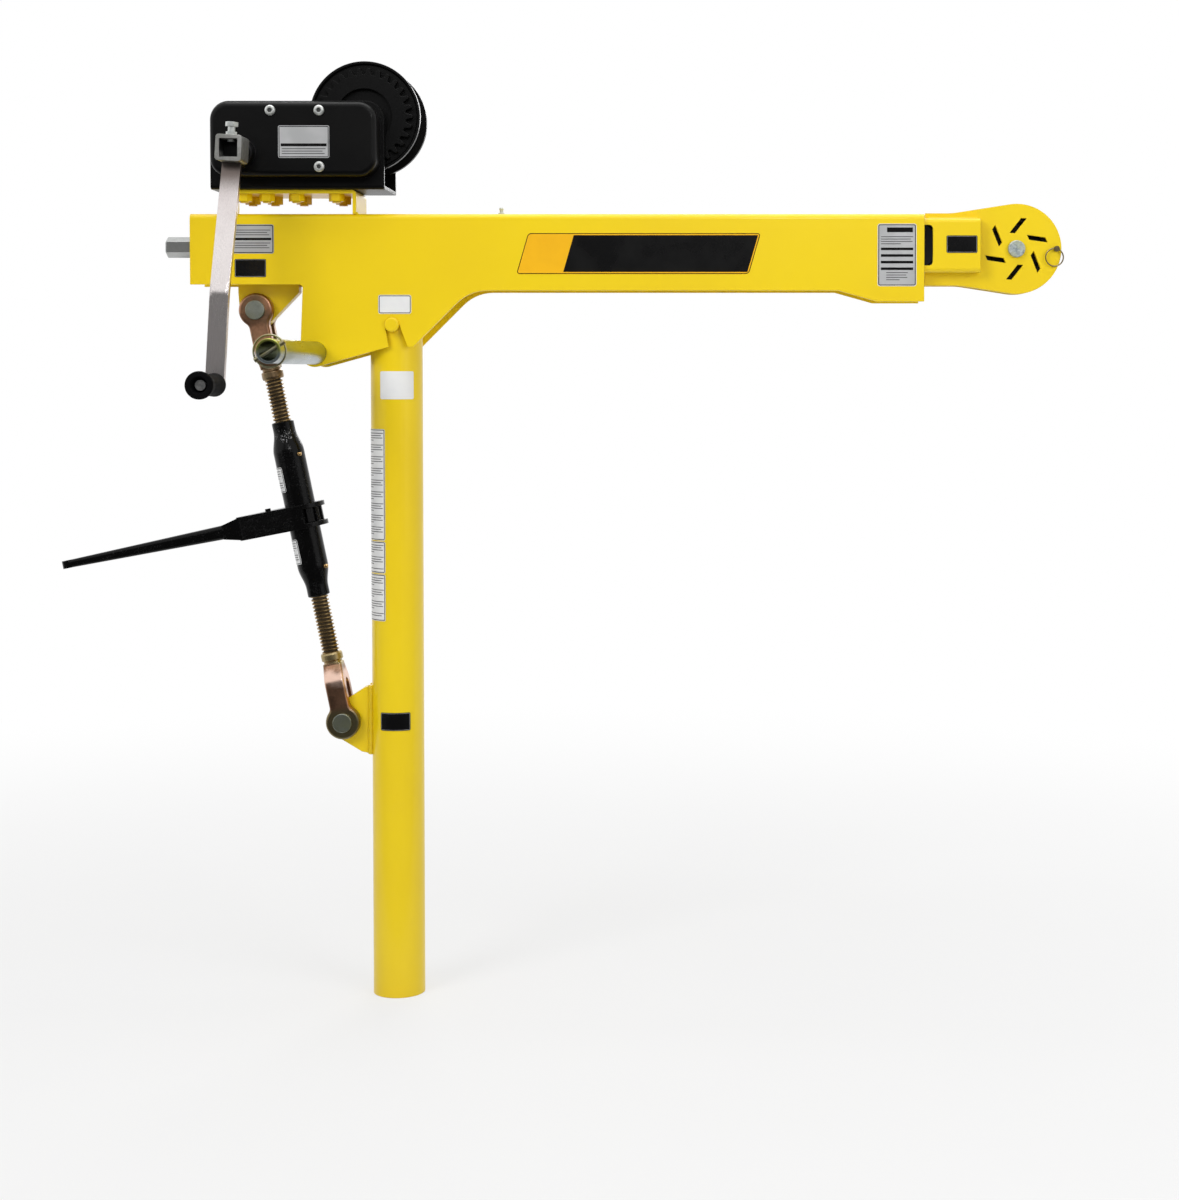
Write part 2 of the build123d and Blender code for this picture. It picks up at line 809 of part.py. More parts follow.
def clevis_pin():
    """Pin with a flat head, a washer and a split pin's stub."""
    seat = jaw_half + seat_gap
    pin = rod_y(clevis_pin_d / 2, -seat, seat + clevis_tail)
    pin = chamfer(pin.edges().group_by(Axis.Y)[-1], clevis_end_chamfer)
    head = rod_y(clevis_head_d / 2, -seat - clevis_head, -seat)
    head = fillet(head.edges().group_by(Axis.Y)[0], 1)
    washer = rod_y(clevis_washer_d / 2, seat, seat + clevis_washer)
    split_pin = Pos(0, seat + clevis_washer + split_pin_d * 0.6, 0)
    split_pin *= Cylinder(split_pin_d / 2, split_pin_length)
    return pin + head + washer + split_pin


def lower_pin():
    """Clevis pin held by the mast's lug."""
    return Pos(lower_eye_x, 0, lower_eye_z) * clevis_pin()


def upper_pin():
    """Clevis pin that goes through the boom's lug."""
    return Pos(upper_eye_x, 0, upper_eye_z) * clevis_pin()


def turnbuckle_barrel():
    """Long nut that both screws run in, tapered to its mouths."""
    bore = screw_d / 2 + running_gap
    mouth = barrel_mouth_d / 2
    full = barrel_d / 2
    profile = [
        (bore, 0),
        (mouth, 0),
        (mouth, barrel_mouth_length),
        (full, barrel_taper),
        (full, barrel_length - barrel_taper),
        (mouth, barrel_length - barrel_mouth_length),
        (mouth, barrel_length),
        (bore, barrel_length),
    ]
    return on_link(Pos(0, 0, barrel_bottom) * turned(profile))


def ratchet_gear():
    """Toothed wheel fixed round the barrel."""
    wheel = gear_outline(ratchet_teeth, ratchet_radius, ratchet_tooth, ratchet_root_share, ratchet_tip_share)
    wheel -= Circle(barrel_d / 2)
    low = ratchet_height - ratchet_width / 2
    return on_link(Pos(0, 0, low) * extrude(wheel, amount=ratchet_width))


def pear_outline(margin):
    """Pear shape round the barrel with its neck to the rear, drawn in by a margin."""
    neck = Pos(-ratchet_plate_reach, 0) * Circle(ratchet_plate_end_radius - margin)
    return make_hull(Circle(ratchet_plate_radius - margin).edges() + neck.edges())


def ratchet_housing():
    """Two plates and the wall between them, open in front where the teeth show."""
    inside = ratchet_width / 2 + seat_gap
    half = inside + ratchet_plate
    plates = Pos(0, 0, -half) * extrude(pear_outline(0), amount=2 * half)
    room = pear_outline(ratchet_wall) + Pos(ratchet_window_x + ratchet_plate_radius, 0) * Rectangle(
        2 * ratchet_plate_radius, 4 * ratchet_plate_radius
    )
    plates -= Pos(0, 0, -inside) * extrude(room, amount=2 * inside)
    return plates - Cylinder(barrel_d / 2 + swing_gap, 3 * half)


def ratchet_handle():
    """Housing round the toothed wheel with the forged handle behind it."""
    half = ratchet_width / 2 + seat_gap + ratchet_plate
    neck_points = [
        (-handle_neck_start, -half),
        (-handle_neck_start, half),
        (-handle_shoulder, half),
        (-handle_root, handle_root_height / 2),
        (-handle_root, -handle_root_height / 2),
        (-handle_shoulder, -half),
    ]
    neck = slab(Polygon(*neck_points, align=None), -handle_root_width / 2, handle_root_width / 2)
    root = Plane.YZ.offset(-handle_root) * RectangleRounded(handle_root_width, handle_root_height, 6)
    tip_x = -handle_reach + handle_tip_width / 2
    tip = Plane.YZ.offset(tip_x) * RectangleRounded(handle_tip_width, handle_tip_height, 4)
    end = Pos(tip_x, 0, 0) * Cylinder(handle_tip_width / 2, handle_tip_height)
    handle = ratchet_housing() + neck + loft([root, tip]) + end
    handle -= Pos(tip_x, 0, 0) * Cylinder(handle_tip_width / 5, 2 * handle_tip_height)
    handle -= Pos(pawl_x, 0, 0) * Cylinder(pawl_pivot_d / 2 + running_gap, 3 * half)
    return on_link(Pos(0, 0, ratchet_height) * handle)


def ratchet_pawl():
    """Pawl between the plates that locks on the toothed wheel, with its pivot."""
    tip = ratchet_radius + seat_gap
    length = 2 * (-pawl_x - tip)
    pawl = Pos(pawl_x, 0, 0) * Box(length, pawl_width, ratchet_width)
    pawl -= Cylinder(tip, 2 * ratchet_width)
    half = ratchet_width / 2 + seat_gap + ratchet_plate
    pivot = Pos(pawl_x, 0, pawl_pivot_head / 2) * Cylinder(pawl_pivot_d / 2, 2 * half + pawl_pivot_head)
    return on_link(Pos(0, 0, ratchet_height) * (pawl + pivot))


# Winch


def winch_stand():
    """Bridge of bent plate between the boom and the winch."""
    half = stand_half_width
    outer = Rectangle(stand_front_x - stand_rear_x, stand_height, align=(Align.MIN, Align.MIN))
    outer = Pos(stand_rear_x, boom_top) * outer
    bridge = slab(outer, -half, half)
    bends = bridge.edges().filter_by(Axis.Y).group_by(Axis.Z)[-1]
    bridge = fillet(bends, stand_plate + 1)
    bridge -= block(
        stand_rear_x + stand_plate, stand_front_x - stand_plate, -2 * half, 2 * half,
        boom_top - 1, stand_top - stand_plate
    )
    for x, y in stand_bolt_places():
        bridge -= rod_z(stand_bolt_d / 2 + running_gap, boom_top, stand_top + 1, x, y)
    return bridge


def stand_bolt_places():
    """Two rows of bolts that hold the winch frame on its stand."""
    span = stand_front_x - stand_rear_x
    along = [stand_rear_x + share * span for share in stand_bolt_shares]
    return [(x, y) for x in along for y in (-stand_bolt_row, stand_bolt_row)]


def stand_bolts():
    """Bolts with their heads on the frame's floor and nuts below."""
    under = stand_top - stand_plate
    floor = stand_top + frame_plate
    bolts = []
    hexagon = RegularPolygon(stand_nut_flats / 2, 6, major_radius=False)
    for x, y in stand_bolt_places():
        shank = rod_z(stand_bolt_d / 2, under - stand_nut - 2, floor, x, y)
        nut = Pos(x, y, under - stand_nut) * extrude(hexagon, amount=stand_nut)
        head = rod_z(stand_bolt_head_d / 2, floor, floor + stand_bolt_head, x, y)
        bolts.append(shank + nut + fillet(head.edges().group_by(Axis.Z)[-1], stand_bolt_dome))
    return Compound(children=bolts)


def winch_side_outline():
    """Side of the winch frame with rounded upper corners."""
    width = frame_front_x - frame_rear_x
    outline = Rectangle(width, frame_height, align=(Align.MIN, Align.MIN))
    outline = Pos(frame_rear_x, stand_top) * outline
    for x in (frame_rear_x, frame_front_x):
        outline = rounded(outline, x, stand_top + frame_height, frame_corner_radius)
    return outline


def winch_frame():
    """U-shaped frame whose sides carry the drum axle."""
    frame = slab(winch_side_outline(), -frame_half_width, frame_half_width)
    inside = frame_half_width - frame_plate
    bends = frame.edges().filter_by(Axis.X).group_by(Axis.Z)[0]
    frame = fillet(bends, frame_plate)
    frame -= block(
        frame_rear_x - 1, frame_front_x + 1, -inside, inside,
        stand_top + frame_plate, stand_top + 2 * frame_height
    )
    for x, y in stand_bolt_places():
        frame -= rod_z(stand_bolt_d / 2 + running_gap, stand_top - 1, stand_top + 2 * frame_plate, x, y)
    reach = 2 * frame_half_width
    return frame - rod_y(drum_axle_d / 2, -reach, reach, drum_axis_x, drum_axis_z)


def cover_outline(margin):
    """Rounded outline of the gear cover, drawn in by a margin."""
    width = frame_front_x - frame_rear_x - 2 * (cover_margin_x + margin)
    height = cover_height - 2 * margin
    middle_x = (frame_front_x + frame_rear_x) / 2
    middle_z = stand_top + cover_bottom + cover_height / 2
    return Pos(middle_x, middle_z) * RectangleRounded(width, height, cover_corner_radius - margin)


def winch_cover():
    """Pressed cover over the gears, with the shaft's boss."""
    front = -cover_face
    back = -frame_half_width
    cover = slab(cover_outline(0), front, back)
    cover = fillet(cover.faces().sort_by(Axis.Y)[0].edges(), cover_edge_radius)
    cover -= slab(cover_outline(cover_wall), front + cover_wall, back + 1)
    boss = rod_y(hub_boss_radius, front - hub_boss_depth, front + cover_wall, crank_axis_x, crank_axis_z)
    boss = fillet(boss.edges().group_by(Axis.Y)[0], hub_boss_edge)
    cover += boss
    bore = hub_journal_d / 2 + running_gap
    cover -= rod_y(bore, front - 2 * hub_boss_depth, front + 2 * cover_wall, crank_axis_x, crank_axis_z)
    for x, z in cover_screw_places():
        cover -= rod_y(cover_screw_shank_d / 2 + running_gap, front - 1, front + 2 * cover_wall, x, z)
    return cover


def cover_screw_places():
    """Two screws above and one below the middle of the cover."""
    upper = stand_top + cover_bottom + cover_height - cover_screw_margin
    lower = stand_top + cover_bottom + cover_screw_margin
    return [(cover_screw_rear_x, upper), (cover_screw_front_x, upper), (cover_screw_front_x, lower)]


def cover_screws():
    """Button-head screws that run back to the frame."""
    front = -cover_face
    screws = []
    for x, z in cover_screw_places():
        shank = rod_y(cover_screw_shank_d / 2, front, -frame_half_width, x, z)
        head = rod_y(cover_screw_d / 2, front - cover_screw_head, front, x, z)
        head = fillet(head.edges().group_by(Axis.Y)[0], cover_screw_dome)
        socket = Pos(x, z) * RegularPolygon(cover_screw_socket / 2, 6, major_radius=False)
        head -= slab(socket, front - 2 * cover_screw_head, front - cover_screw_head / 2)
        screws.append(shank + head)
    return Compound(children=screws)


def drum_axle():
    """Fixed axle across the frame with a nut on its far end."""
    near = -frame_half_width + 1
    far = frame_half_width + drum_axle_tail
    axle = rod_y(drum_axle_d / 2, near, far, drum_axis_x, drum_axis_z)
    hexagon = Pos(drum_axis_x, drum_axis_z) * RegularPolygon(drum_axle_nut_flats / 2, 6, major_radius=False)
    nut = slab(hexagon, frame_half_width, frame_half_width + drum_axle_nut)
    return axle + nut


def drum_core():
    """Hollow core that the rope winds on."""
    half = drum_rope_width / 2
    core = rod_y(drum_core_radius, -half, half, drum_axis_x, drum_axis_z)
    inside = drum_core_radius - drum_core_wall
    return core - rod_y(inside, -2 * half, 2 * half, drum_axis_x, drum_axis_z)


def drum_flange_plate(side):
    """Flange with a rolled rim and a hub towards the frame."""
    start = drum_rope_width / 2
    bore = drum_axle_d / 2 + running_gap
    end = frame_half_width - frame_plate - seat_gap
    rim = start + drum_rim_width
    profile = [
        (bore, start),
        (drum_flange_radius, start),
        (drum_flange_radius, rim),
        (drum_flange_radius - drum_rim_wall, rim),
        (drum_flange_radius - drum_rim_wall - 2, start + drum_flange),
        (drum_axle_d, start + drum_flange),
        (drum_axle_d, end),
        (bore, end),
    ]
    profile = [(radius, side * y) for radius, y in profile]
    return turned_y(profile, drum_axis_x, drum_axis_z)


def near_flange():
    """Flange beside the gears."""
    return drum_flange_plate(-1)


def far_flange():
    """Flange away from the gears."""
    return drum_flange_plate(1)


def ring_gear():
    """Toothed ring on the near flange that the winch's pinion drives."""
    outline = gear_outline(gear_teeth, gear_radius, gear_tooth, gear_root_share, gear_tip_share)
    outline -= Circle(gear_bore_radius)
    start = -drum_rope_width / 2 - drum_flange
    return slab(Pos(drum_axis_x, drum_axis_z) * outline, start - gear_width, start)


# Crank, drawn hanging straight down from its hub at zero


def on_crank(shape):
    """Shape drawn about the crank's axis, set on the winch."""
    return Pos(crank_axis_x, 0, crank_axis_z) * Rot(0, crank_lean, 0) * shape


def crank_hub():
    """Square socket clamped on the winch's square shaft."""
    outer = RectangleRounded(hub_side, hub_side, hub_corner_radius)
    outer -= RectangleRounded(hub_bore_side, hub_bore_side, hub_bore_corner_radius)
    hub = slab(outer, -hub_front, -hub_back)
    return on_crank(hub - rod_z(hub_bolt_d / 2, 0, hub_side, 0, hub_bolt_y))


def input_shaft():
    """Square shaft from the gear case into the crank's socket."""
    side = hub_bore_side - 2 * running_gap
    end = -hub_back - hub_depth * hub_shaft_share
    shaft = slab(RectangleRounded(side, side, hub_bore_corner_radius), end, -hub_back + 1)
    journal = rod_y(hub_journal_d / 2, -hub_back + 1, -cover_face + cover_wall)
    return on_crank(shaft + journal)


def hub_bolt():
    """Clamp bolt on top of the socket, with its lock nut."""
    top = hub_side / 2
    seat = top + hub_bolt_rise
    bolt = rod_z(hub_bolt_d / 2, hub_bore_side / 2 - 3, seat, 0, hub_bolt_y)
    nut = extrude(RegularPolygon(hub_nut_flats / 2, 6, major_radius=False), amount=hub_nut)
    head = extrude(RegularPolygon(hub_bolt_flats / 2, 6, major_radius=False), amount=hub_bolt_head)
    return on_crank(bolt + Pos(0, hub_bolt_y, top) * nut + Pos(0, hub_bolt_y, seat) * head)


def crank_arm():
    """Cranked flat bar from the socket to the grip, with a round end."""
    start_y = -hub_back - crank_arm_set + crank_arm_thickness
    bend_y = -hub_front - crank_arm_thickness / 2 + 1
    top = -hub_side / 2
    centre = Polyline((start_y, top - 1), (bend_y, -crank_bend_drop), (bend_y, -crank_reach - crank_arm_width / 2))
    profile = trace(centre, crank_arm_thickness)
    profile -= Pos(start_y, top + hub_side) * Rectangle(4 * hub_side, 2 * hub_side)
    arm = slab_x(profile, -crank_arm_width / 2, crank_arm_width / 2)
    front = Pos(0, -crank_reach) * Circle(crank_arm_width / 2)
    front += Pos(0, -crank_reach / 2) * Rectangle(crank_arm_width, crank_reach)
    arm = arm & slab(front, -2 * hub_front, 0)
    return on_crank(arm - rod_y(grip_spindle_d / 2, -2 * hub_front, 0, 0, -crank_reach))


def crank_face():
    """Y value of the crank arm's outer face at the grip."""
    return -hub_front + 1 - crank_arm_thickness


def grip_spindle():
    """Bolt that the grip turns on."""
    face = crank_face()
    end = face - seat_gap - grip_length
    back = face + crank_arm_thickness
    seat = end + grip_recess
    bolt = rod_y(grip_spindle_d / 2, seat - 1, back + grip_nut + 1, 0, -crank_reach)
    hexagon = Pos(0, -crank_reach) * RegularPolygon(grip_nut_flats / 2, 6, major_radius=False)
    nut = slab(hexagon, back, back + grip_nut)
    head = rod_y(grip_head_d / 2, seat - grip_head, seat, 0, -crank_reach)
    return on_crank(bolt + nut + head)


def crank_grip():
    """Waisted plastic grip with a recess for the bolt's head."""
    face = crank_face() - seat_gap
    end = face - grip_length
    bore = grip_spindle_d / 2 + running_gap
    profile = [
        (bore, face),
        (grip_radius * 0.86, face),
        (grip_waist_radius, face - grip_length * 0.3),
        (grip_waist_radius, face - grip_length * 0.62),
        (grip_radius, end + grip_rim),
        (grip_radius, end + 1.5),
        (grip_radius - 1.5, end),
        (grip_recess_radius + 1.5, end),
        (grip_recess_radius, end + 1.5),
        (grip_recess_radius - 1.5, end + grip_recess + seat_gap),
        (bore, end + grip_recess + seat_gap),
    ]
    return on_crank(turned_y(profile, 0, -crank_reach))


sub_parts = {
    "mast_tube": mast_tube,
    "foot_plug": foot_plug,
    "mast_pin": mast_pin,
    "mast_lug": mast_lug,
    "lower_pin": lower_pin,
    "boom_shell": boom_shell,
    "boom_floor": boom_floor,
    "rear_plate": rear_plate,
    "boom_lug": boom_lug,
    "drive_shaft": drive_shaft,
    "pull_tube": pull_tube,
    "pull_pin": pull_pin,
    "grease_nipple": grease_nipple,
    "inner_tube": inner_tube,
    "head_plate_near": lambda: head_side(-1),
    "head_plate_far": lambda: head_side(1),
    "sheave": sheave,
    "sheave_bolt": sheave_bolt,
    "keeper_pin": keeper_pin,
    "lower_screw": lower_screw,
    "lower_rod": lower_rod,
    "turnbuckle_barrel": turnbuckle_barrel,
    "ratchet_gear": ratchet_gear,
    "ratchet_handle": ratchet_handle,
    "ratchet_pawl": ratchet_pawl,
    "upper_screw": upper_screw,
    "upper_rod": upper_rod,
    "upper_pin": upper_pin,
    "winch_stand": winch_stand,
    "stand_bolts": stand_bolts,
    "winch_frame": winch_frame,
    "winch_cover": winch_cover,
    "cover_screws": cover_screws,
    "drum_axle": drum_axle,
    "drum_core": drum_core,
    "near_flange": near_flange,
    "far_flange": far_flange,
    "ring_gear": ring_gear,
    "input_shaft": input_shaft,
    "crank_hub": crank_hub,
    "hub_bolt": hub_bolt,
    "crank_arm": crank_arm,
    "grip_spindle": grip_spindle,
    "crank_grip": crank_grip,
}

os.makedirs("parts", exist_ok=True)
for name, make in sub_parts.items():
    export_step(make(), f"parts/{name}.step")
    print("wrote", name)
print(f"turnbuckle {link_length:.2f} mm long, leaning {link_lean:.3f} degrees")
print(f"barrel clearance to the upper jaw {link_length - jaw_length - barrel_top:.2f} mm")
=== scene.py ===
import bpy
import math
from mathutils import Matrix, Vector


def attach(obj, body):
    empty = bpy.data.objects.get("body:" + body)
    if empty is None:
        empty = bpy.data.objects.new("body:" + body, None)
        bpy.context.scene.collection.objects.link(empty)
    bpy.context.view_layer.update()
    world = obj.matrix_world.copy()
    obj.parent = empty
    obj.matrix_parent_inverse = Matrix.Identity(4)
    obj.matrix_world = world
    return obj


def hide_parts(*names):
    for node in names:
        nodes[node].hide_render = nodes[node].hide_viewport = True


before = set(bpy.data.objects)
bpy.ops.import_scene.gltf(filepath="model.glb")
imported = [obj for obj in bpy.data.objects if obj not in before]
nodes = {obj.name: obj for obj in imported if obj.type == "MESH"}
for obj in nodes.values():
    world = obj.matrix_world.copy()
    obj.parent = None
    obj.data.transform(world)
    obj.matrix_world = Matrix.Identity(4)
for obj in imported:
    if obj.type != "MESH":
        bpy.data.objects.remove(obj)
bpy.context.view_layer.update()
print("frame loaded,", len(nodes), "nodes")

mm = 0.001
sharp = math.radians(32)  # edges sharper than this stay sharp in the shading
weldGap = 0.02 * mm  # points closer than this are merged


# Camera: a little under the boom, well to the right of the mast, turned slightly down

stand = {"x": 0.4431, "away": 2.8922, "z": 0.8861, "down": 1.726, "lens": 61.203,
         "shiftX": -0.1, "shiftY": -0.14, "near": 0.05, "far": 200}

bpy.ops.object.camera_add(location=(stand["x"], -stand["away"], stand["z"]),
                          rotation=(math.radians(90 - stand["down"]), 0, 0))
camera = bpy.context.object
camera.data.lens = stand["lens"]
camera.data.shift_x = stand["shiftX"]
camera.data.shift_y = stand["shiftY"]
camera.data.clip_start = stand["near"]
camera.data.clip_end = stand["far"]
bpy.context.scene.camera = camera
bpy.context.scene.view_settings.view_transform = "Standard"


# The turnbuckle's own axis, from the lower eye to the upper one

eyes = {"lower": Vector((-0.0754, 0, 0.3885)), "upper": Vector((-0.1946, 0, 0.9710))}
lean = math.atan2(eyes["lower"].x - eyes["upper"].x, eyes["upper"].z - eyes["lower"].z)
onLink = Matrix.Translation(eyes["lower"]) @ Matrix.Rotation(-lean, 4, "Y")


# Shader sums: a wrapped socket that can be added, multiplied and so on

class Signal:
    def __init__(self, finish, socket):
        self.finish = finish
        self.socket = socket

    def sum(self, operation, first, second=0.0):
        return self.finish.node("ShaderNodeMath", {"operation": operation}, {0: first, 1: second})

    def __add__(self, other):
        return self.sum("ADD", self, other)

    def __radd__(self, other):
        return self.sum("ADD", other, self)

    def __sub__(self, other):
        return self.sum("SUBTRACT", self, other)

    def __rsub__(self, other):
        return self.sum("SUBTRACT", other, self)

    def __mul__(self, other):
        return self.sum("MULTIPLY", self, other)

    def __rmul__(self, other):
        return self.sum("MULTIPLY", other, self)

    def __abs__(self):
        return self.sum("ABSOLUTE", self)

    def power(self, other):
        return self.sum("POWER", self, other)

    def above(self, other):
        return self.sum("MAXIMUM", self, other)

    def below(self, other):
        return self.sum("MINIMUM", self, other)


class Finish:
    def __init__(self, name):
        self.material = bpy.data.materials.new(name)
        self.material.use_nodes = True
        self.tree = self.material.node_tree
        self.tree.nodes.clear()
        self.place = self.node("ShaderNodeTexCoord", {}, {}, "Object")

    def node(self, kind, settings, sockets, output=0):
        made = self.tree.nodes.new(kind)
        for key, value in settings.items():
            setattr(made, key, value)
        for key, value in sockets.items():
            if isinstance(value, Signal):
                self.tree.links.new(value.socket, made.inputs[key])
            else:
                made.inputs[key].default_value = value
        return Signal(self, made.outputs[output])

    def noise(self, scale, detail=3.0, rough=0.55, stretch=(1, 1, 1), offset=(0, 0, 0)):
        at = self.place
        if stretch != (1, 1, 1) or offset != (0, 0, 0):
            moved = {"Vector": self.place, "Scale": stretch, "Location": offset}
            at = self.node("ShaderNodeMapping", {}, moved)
        sockets = {"Vector": at, "Scale": scale, "Detail": detail, "Roughness": rough}
        return self.node("ShaderNodeTexNoise", {}, sockets)

    def step(self, value, low, high):
        settings = {"interpolation_type": "SMOOTHSTEP"}
        return self.node("ShaderNodeMapRange", settings, {"Value": value, "From Min": low, "From Max": high})

    def blend(self, amount, first, second):
        sockets = {0: amount, 6: first, 7: second}
        return self.node("ShaderNodeMix", {"data_type": "RGBA"}, sockets, 2)

    def axes(self):
        apart = self.node("ShaderNodeSeparateXYZ", {}, {0: self.place})
        return [Signal(self, part) for part in apart.socket.node.outputs]

    def bump(self, height, strength, distance, under=None):
        sockets = {"Height": height, "Strength": strength, "Distance": distance}
        if under is not None:
            sockets["Normal"] = under
        return self.node("ShaderNodeBump", {}, sockets)

    def softEdges(self, radius):
        return self.node("ShaderNodeBevel", {"samples": 4}, {"Radius": radius})

    def surface(self, sockets):
        shader = self.node("ShaderNodeBsdfPrincipled", {}, sockets)
        ending = self.tree.nodes.new("ShaderNodeOutputMaterial")
        self.tree.links.new(shader.socket, ending.inputs["Surface"])
        return self.material


def colour(red, green, blue):
    return (red, green, blue, 1.0)


# Finishes

def paintYellow():
    look = {"base": colour(0.86, 0.625, 0.006), "deep": colour(0.815, 0.57, 0.005), "rough": 0.30,
            "coat": 0.12, "peel": 420, "peelHigh": 0.4 * mm, "waves": 60, "wavesHigh": 1.5 * mm,
            "edge": 1.2 * mm}
    f = Finish("glossYellow")
    drift = f.step(f.noise(3.1, 2.0), 0.35, 0.65)
    dust = f.step(f.noise(38, 5.0, 0.7), 0.52, 0.78)
    tone = f.blend(drift * 0.75, look["base"], look["deep"])
    rough = look["rough"] + drift * 0.05 + dust * 0.08
    waves = f.bump(f.noise(look["waves"], 2.0, 0.5), 0.06, look["wavesHigh"], f.softEdges(look["edge"]))
    skin = f.bump(f.noise(look["peel"], 2.0, 0.5), 0.10, look["peelHigh"], waves)
    return f.surface({"Base Color": tone, "Roughness": rough, "Normal": skin, "IOR": 1.45,
                      "Coat Weight": look["coat"], "Coat Roughness": 0.10})


def paintBlack():
    look = {"base": colour(0.0017, 0.0017, 0.0018), "wearAndSheen": colour(0.0026, 0.0025, 0.0024),
            "scuffed": colour(0.006, 0.0058, 0.0055), "rough": 0.33, "grain": 900, "edge": 1.4 * mm,
            "shine": 0.17}
    f = Finish("winchBlack")
    drift = f.step(f.noise(9, 3.0), 0.3, 0.7)
    scuff = f.step(f.noise(70, 6.0, 0.75, (1, 1, 0.35)), 0.62, 0.82)
    tone = f.blend(drift * 0.8, look["base"], look["wearAndSheen"])
    tone = f.blend(scuff * 0.25, tone, look["scuffed"])
    rough = look["rough"] + drift * 0.06 + scuff * 0.10
    skin = f.bump(f.noise(look["grain"], 3.0, 0.6), 0.22, 0.5 * mm, f.softEdges(look["edge"]))
    return f.surface({"Base Color": tone, "Roughness": rough, "Normal": skin,
                      "Specular IOR Level": look["shine"], "Coat Weight": 0.03, "Coat Roughness": 0.12})


def hammerBlack():
    look = {"base": colour(0.0011, 0.0011, 0.0012), "wearAndSheen": colour(0.0022, 0.0021, 0.0021), "rough": 0.16,
            "dents": 330, "dentsHigh": 0.7 * mm, "edge": 1.6 * mm, "shine": 0.15}
    paintedGlint = {"low": 0.392, "high": 0.424, "fade": 0.009, "grain": 560, "light": colour(0.46, 0.46, 0.47)}
    f = Finish("forgedBlack")
    x, y, z = f.axes()
    along = (z - eyes["lower"].z) * math.cos(lean) - (x - eyes["lower"].x) * math.sin(lean)
    shoulder = f.step(along, paintedGlint["low"], paintedGlint["low"] + paintedGlint["fade"])
    shoulder = shoulder * (1 - f.step(along, paintedGlint["high"] - paintedGlint["fade"], paintedGlint["high"]))
    specksAndGlints = f.step(f.noise(paintedGlint["grain"], 2.0, 0.6), 0.57, 0.63)  # specks of the hammered paint; painted highlight where they turn light as glints
    patches = f.step(f.noise(75, 2.0, 0.5), 0.45, 0.60)
    # painted highlight: light specks on the shoulder and faint ones all over stand for glints of the lamp
    share = specksAndGlints * (shoulder * patches * 0.9 + patches * 0.025)
    tone = f.blend(f.noise(9, 3.0), look["base"], look["wearAndSheen"])
    tone = f.blend(share, tone, paintedGlint["light"])
    skin = f.bump(f.noise(look["dents"], 3.0, 0.6), 0.45, look["dentsHigh"], f.softEdges(look["edge"]))
    return f.surface({"Base Color": tone, "Roughness": look["rough"] + specksAndGlints * 0.08, "Normal": skin,
                      "Specular IOR Level": look["shine"], "Coat Weight": 0.04, "Coat Roughness": 0.10})


def metalFinish(name, light, dark, rough, edge=0.0006, tint=None, grain=260, blotch=26, bumpHeight=0.12,
                metal=1.0):
    f = Finish(name)
    cloud = f.step(f.noise(blotch, 5.0, 0.65), 0.32, 0.70)
    fine = f.noise(grain, 4.0, 0.6)
    tone = f.blend(cloud, light, dark)
    if tint is not None:
        stain = f.step(f.noise(blotch * 0.45, 3.0, 0.6, offset=(3, 1, 2)), 0.42, 0.66)
        tone = f.blend(stain * 0.75, tone, tint)
    skin = f.bump(fine, bumpHeight, 0.3 * mm, f.softEdges(edge))
    return f.surface({"Base Color": tone, "Metallic": metal, "Roughness": rough + cloud * 0.10 + fine * 0.06,
                      "Normal": skin})


def brushedBar():
    look = {"light": colour(0.92, 0.86, 0.845), "dark": colour(0.78, 0.71, 0.70),
            "line": colour(0.50, 0.46, 0.46), "hubShade": colour(0.20, 0.165, 0.15),
            "hubShadeLow": 1.122, "hubShadeHigh": 1.158, "rough": 0.24}
    turn = {"z": 0.995, "inside": 4 * mm, "outside": 12 * mm, "edge": 7 * mm}
    f = Finish("brushedBar")
    z = f.axes()[2]
    lines = f.noise(55, 6.0, 0.75, (30, 30, 1.2))
    cloud = f.step(f.noise(11, 4.0), 0.35, 0.7)
    tone = f.blend(cloud, look["light"], look["dark"])
    tone = f.blend(f.step(lines, 0.42, 0.66) * 0.35, tone, look["line"])
    paintedHubShade = f.step(z + lines * 0.010, look["hubShadeLow"], look["hubShadeHigh"])  # painted shade, darker on the arm just below the socket and its weld
    tone = f.blend(paintedHubShade, tone, look["hubShade"])
    bend = 1 - f.step(abs(z - turn["z"]), turn["inside"], turn["outside"])  # a softer shine at the bend
    normals = {0: bend, 4: f.softEdges(0.8 * mm), 5: f.softEdges(turn["edge"])}
    edges = f.node("ShaderNodeMix", {"data_type": "VECTOR"}, normals, 1)
    skin = f.bump(lines, 0.16, 0.3 * mm, edges)
    rough = look["rough"] + cloud * 0.06 + lines * 0.07
    return f.surface({"Base Color": tone, "Metallic": 1.0, "Roughness": rough, "Normal": skin})


def pullTubeZinc():
    look = {"light": colour(0.34, 0.385, 0.40), "dark": colour(0.23, 0.27, 0.27),
            "gold": colour(0.35, 0.365, 0.04), "goldLow": 0.910, "goldHigh": 0.921, "rough": 0.24,
            "edge": 0.4 * mm}
    f = Finish("zincPaintedReflection")
    lines = f.noise(40, 4.0, 0.7, (9, 0.7, 9))
    cloud = f.step(f.noise(14, 4.0, 0.6, (1, 0.6, 1)), 0.34, 0.68)
    # painted reflection: the upper part turns gold, standing in for the yellow boom mirrored above it
    gold = f.step(f.axes()[2] + f.noise(12, 3.0) * 0.012, look["goldLow"], look["goldHigh"])
    tone = f.blend(cloud, look["light"], look["dark"])
    tone = f.blend(gold * 0.85, tone, look["gold"])
    skin = f.bump(lines, 0.06, 0.3 * mm, f.softEdges(look["edge"]))
    rough = look["rough"] + cloud * 0.10 + lines * 0.06
    return f.surface({"Base Color": tone, "Metallic": 1.0, "Roughness": rough, "Normal": skin})


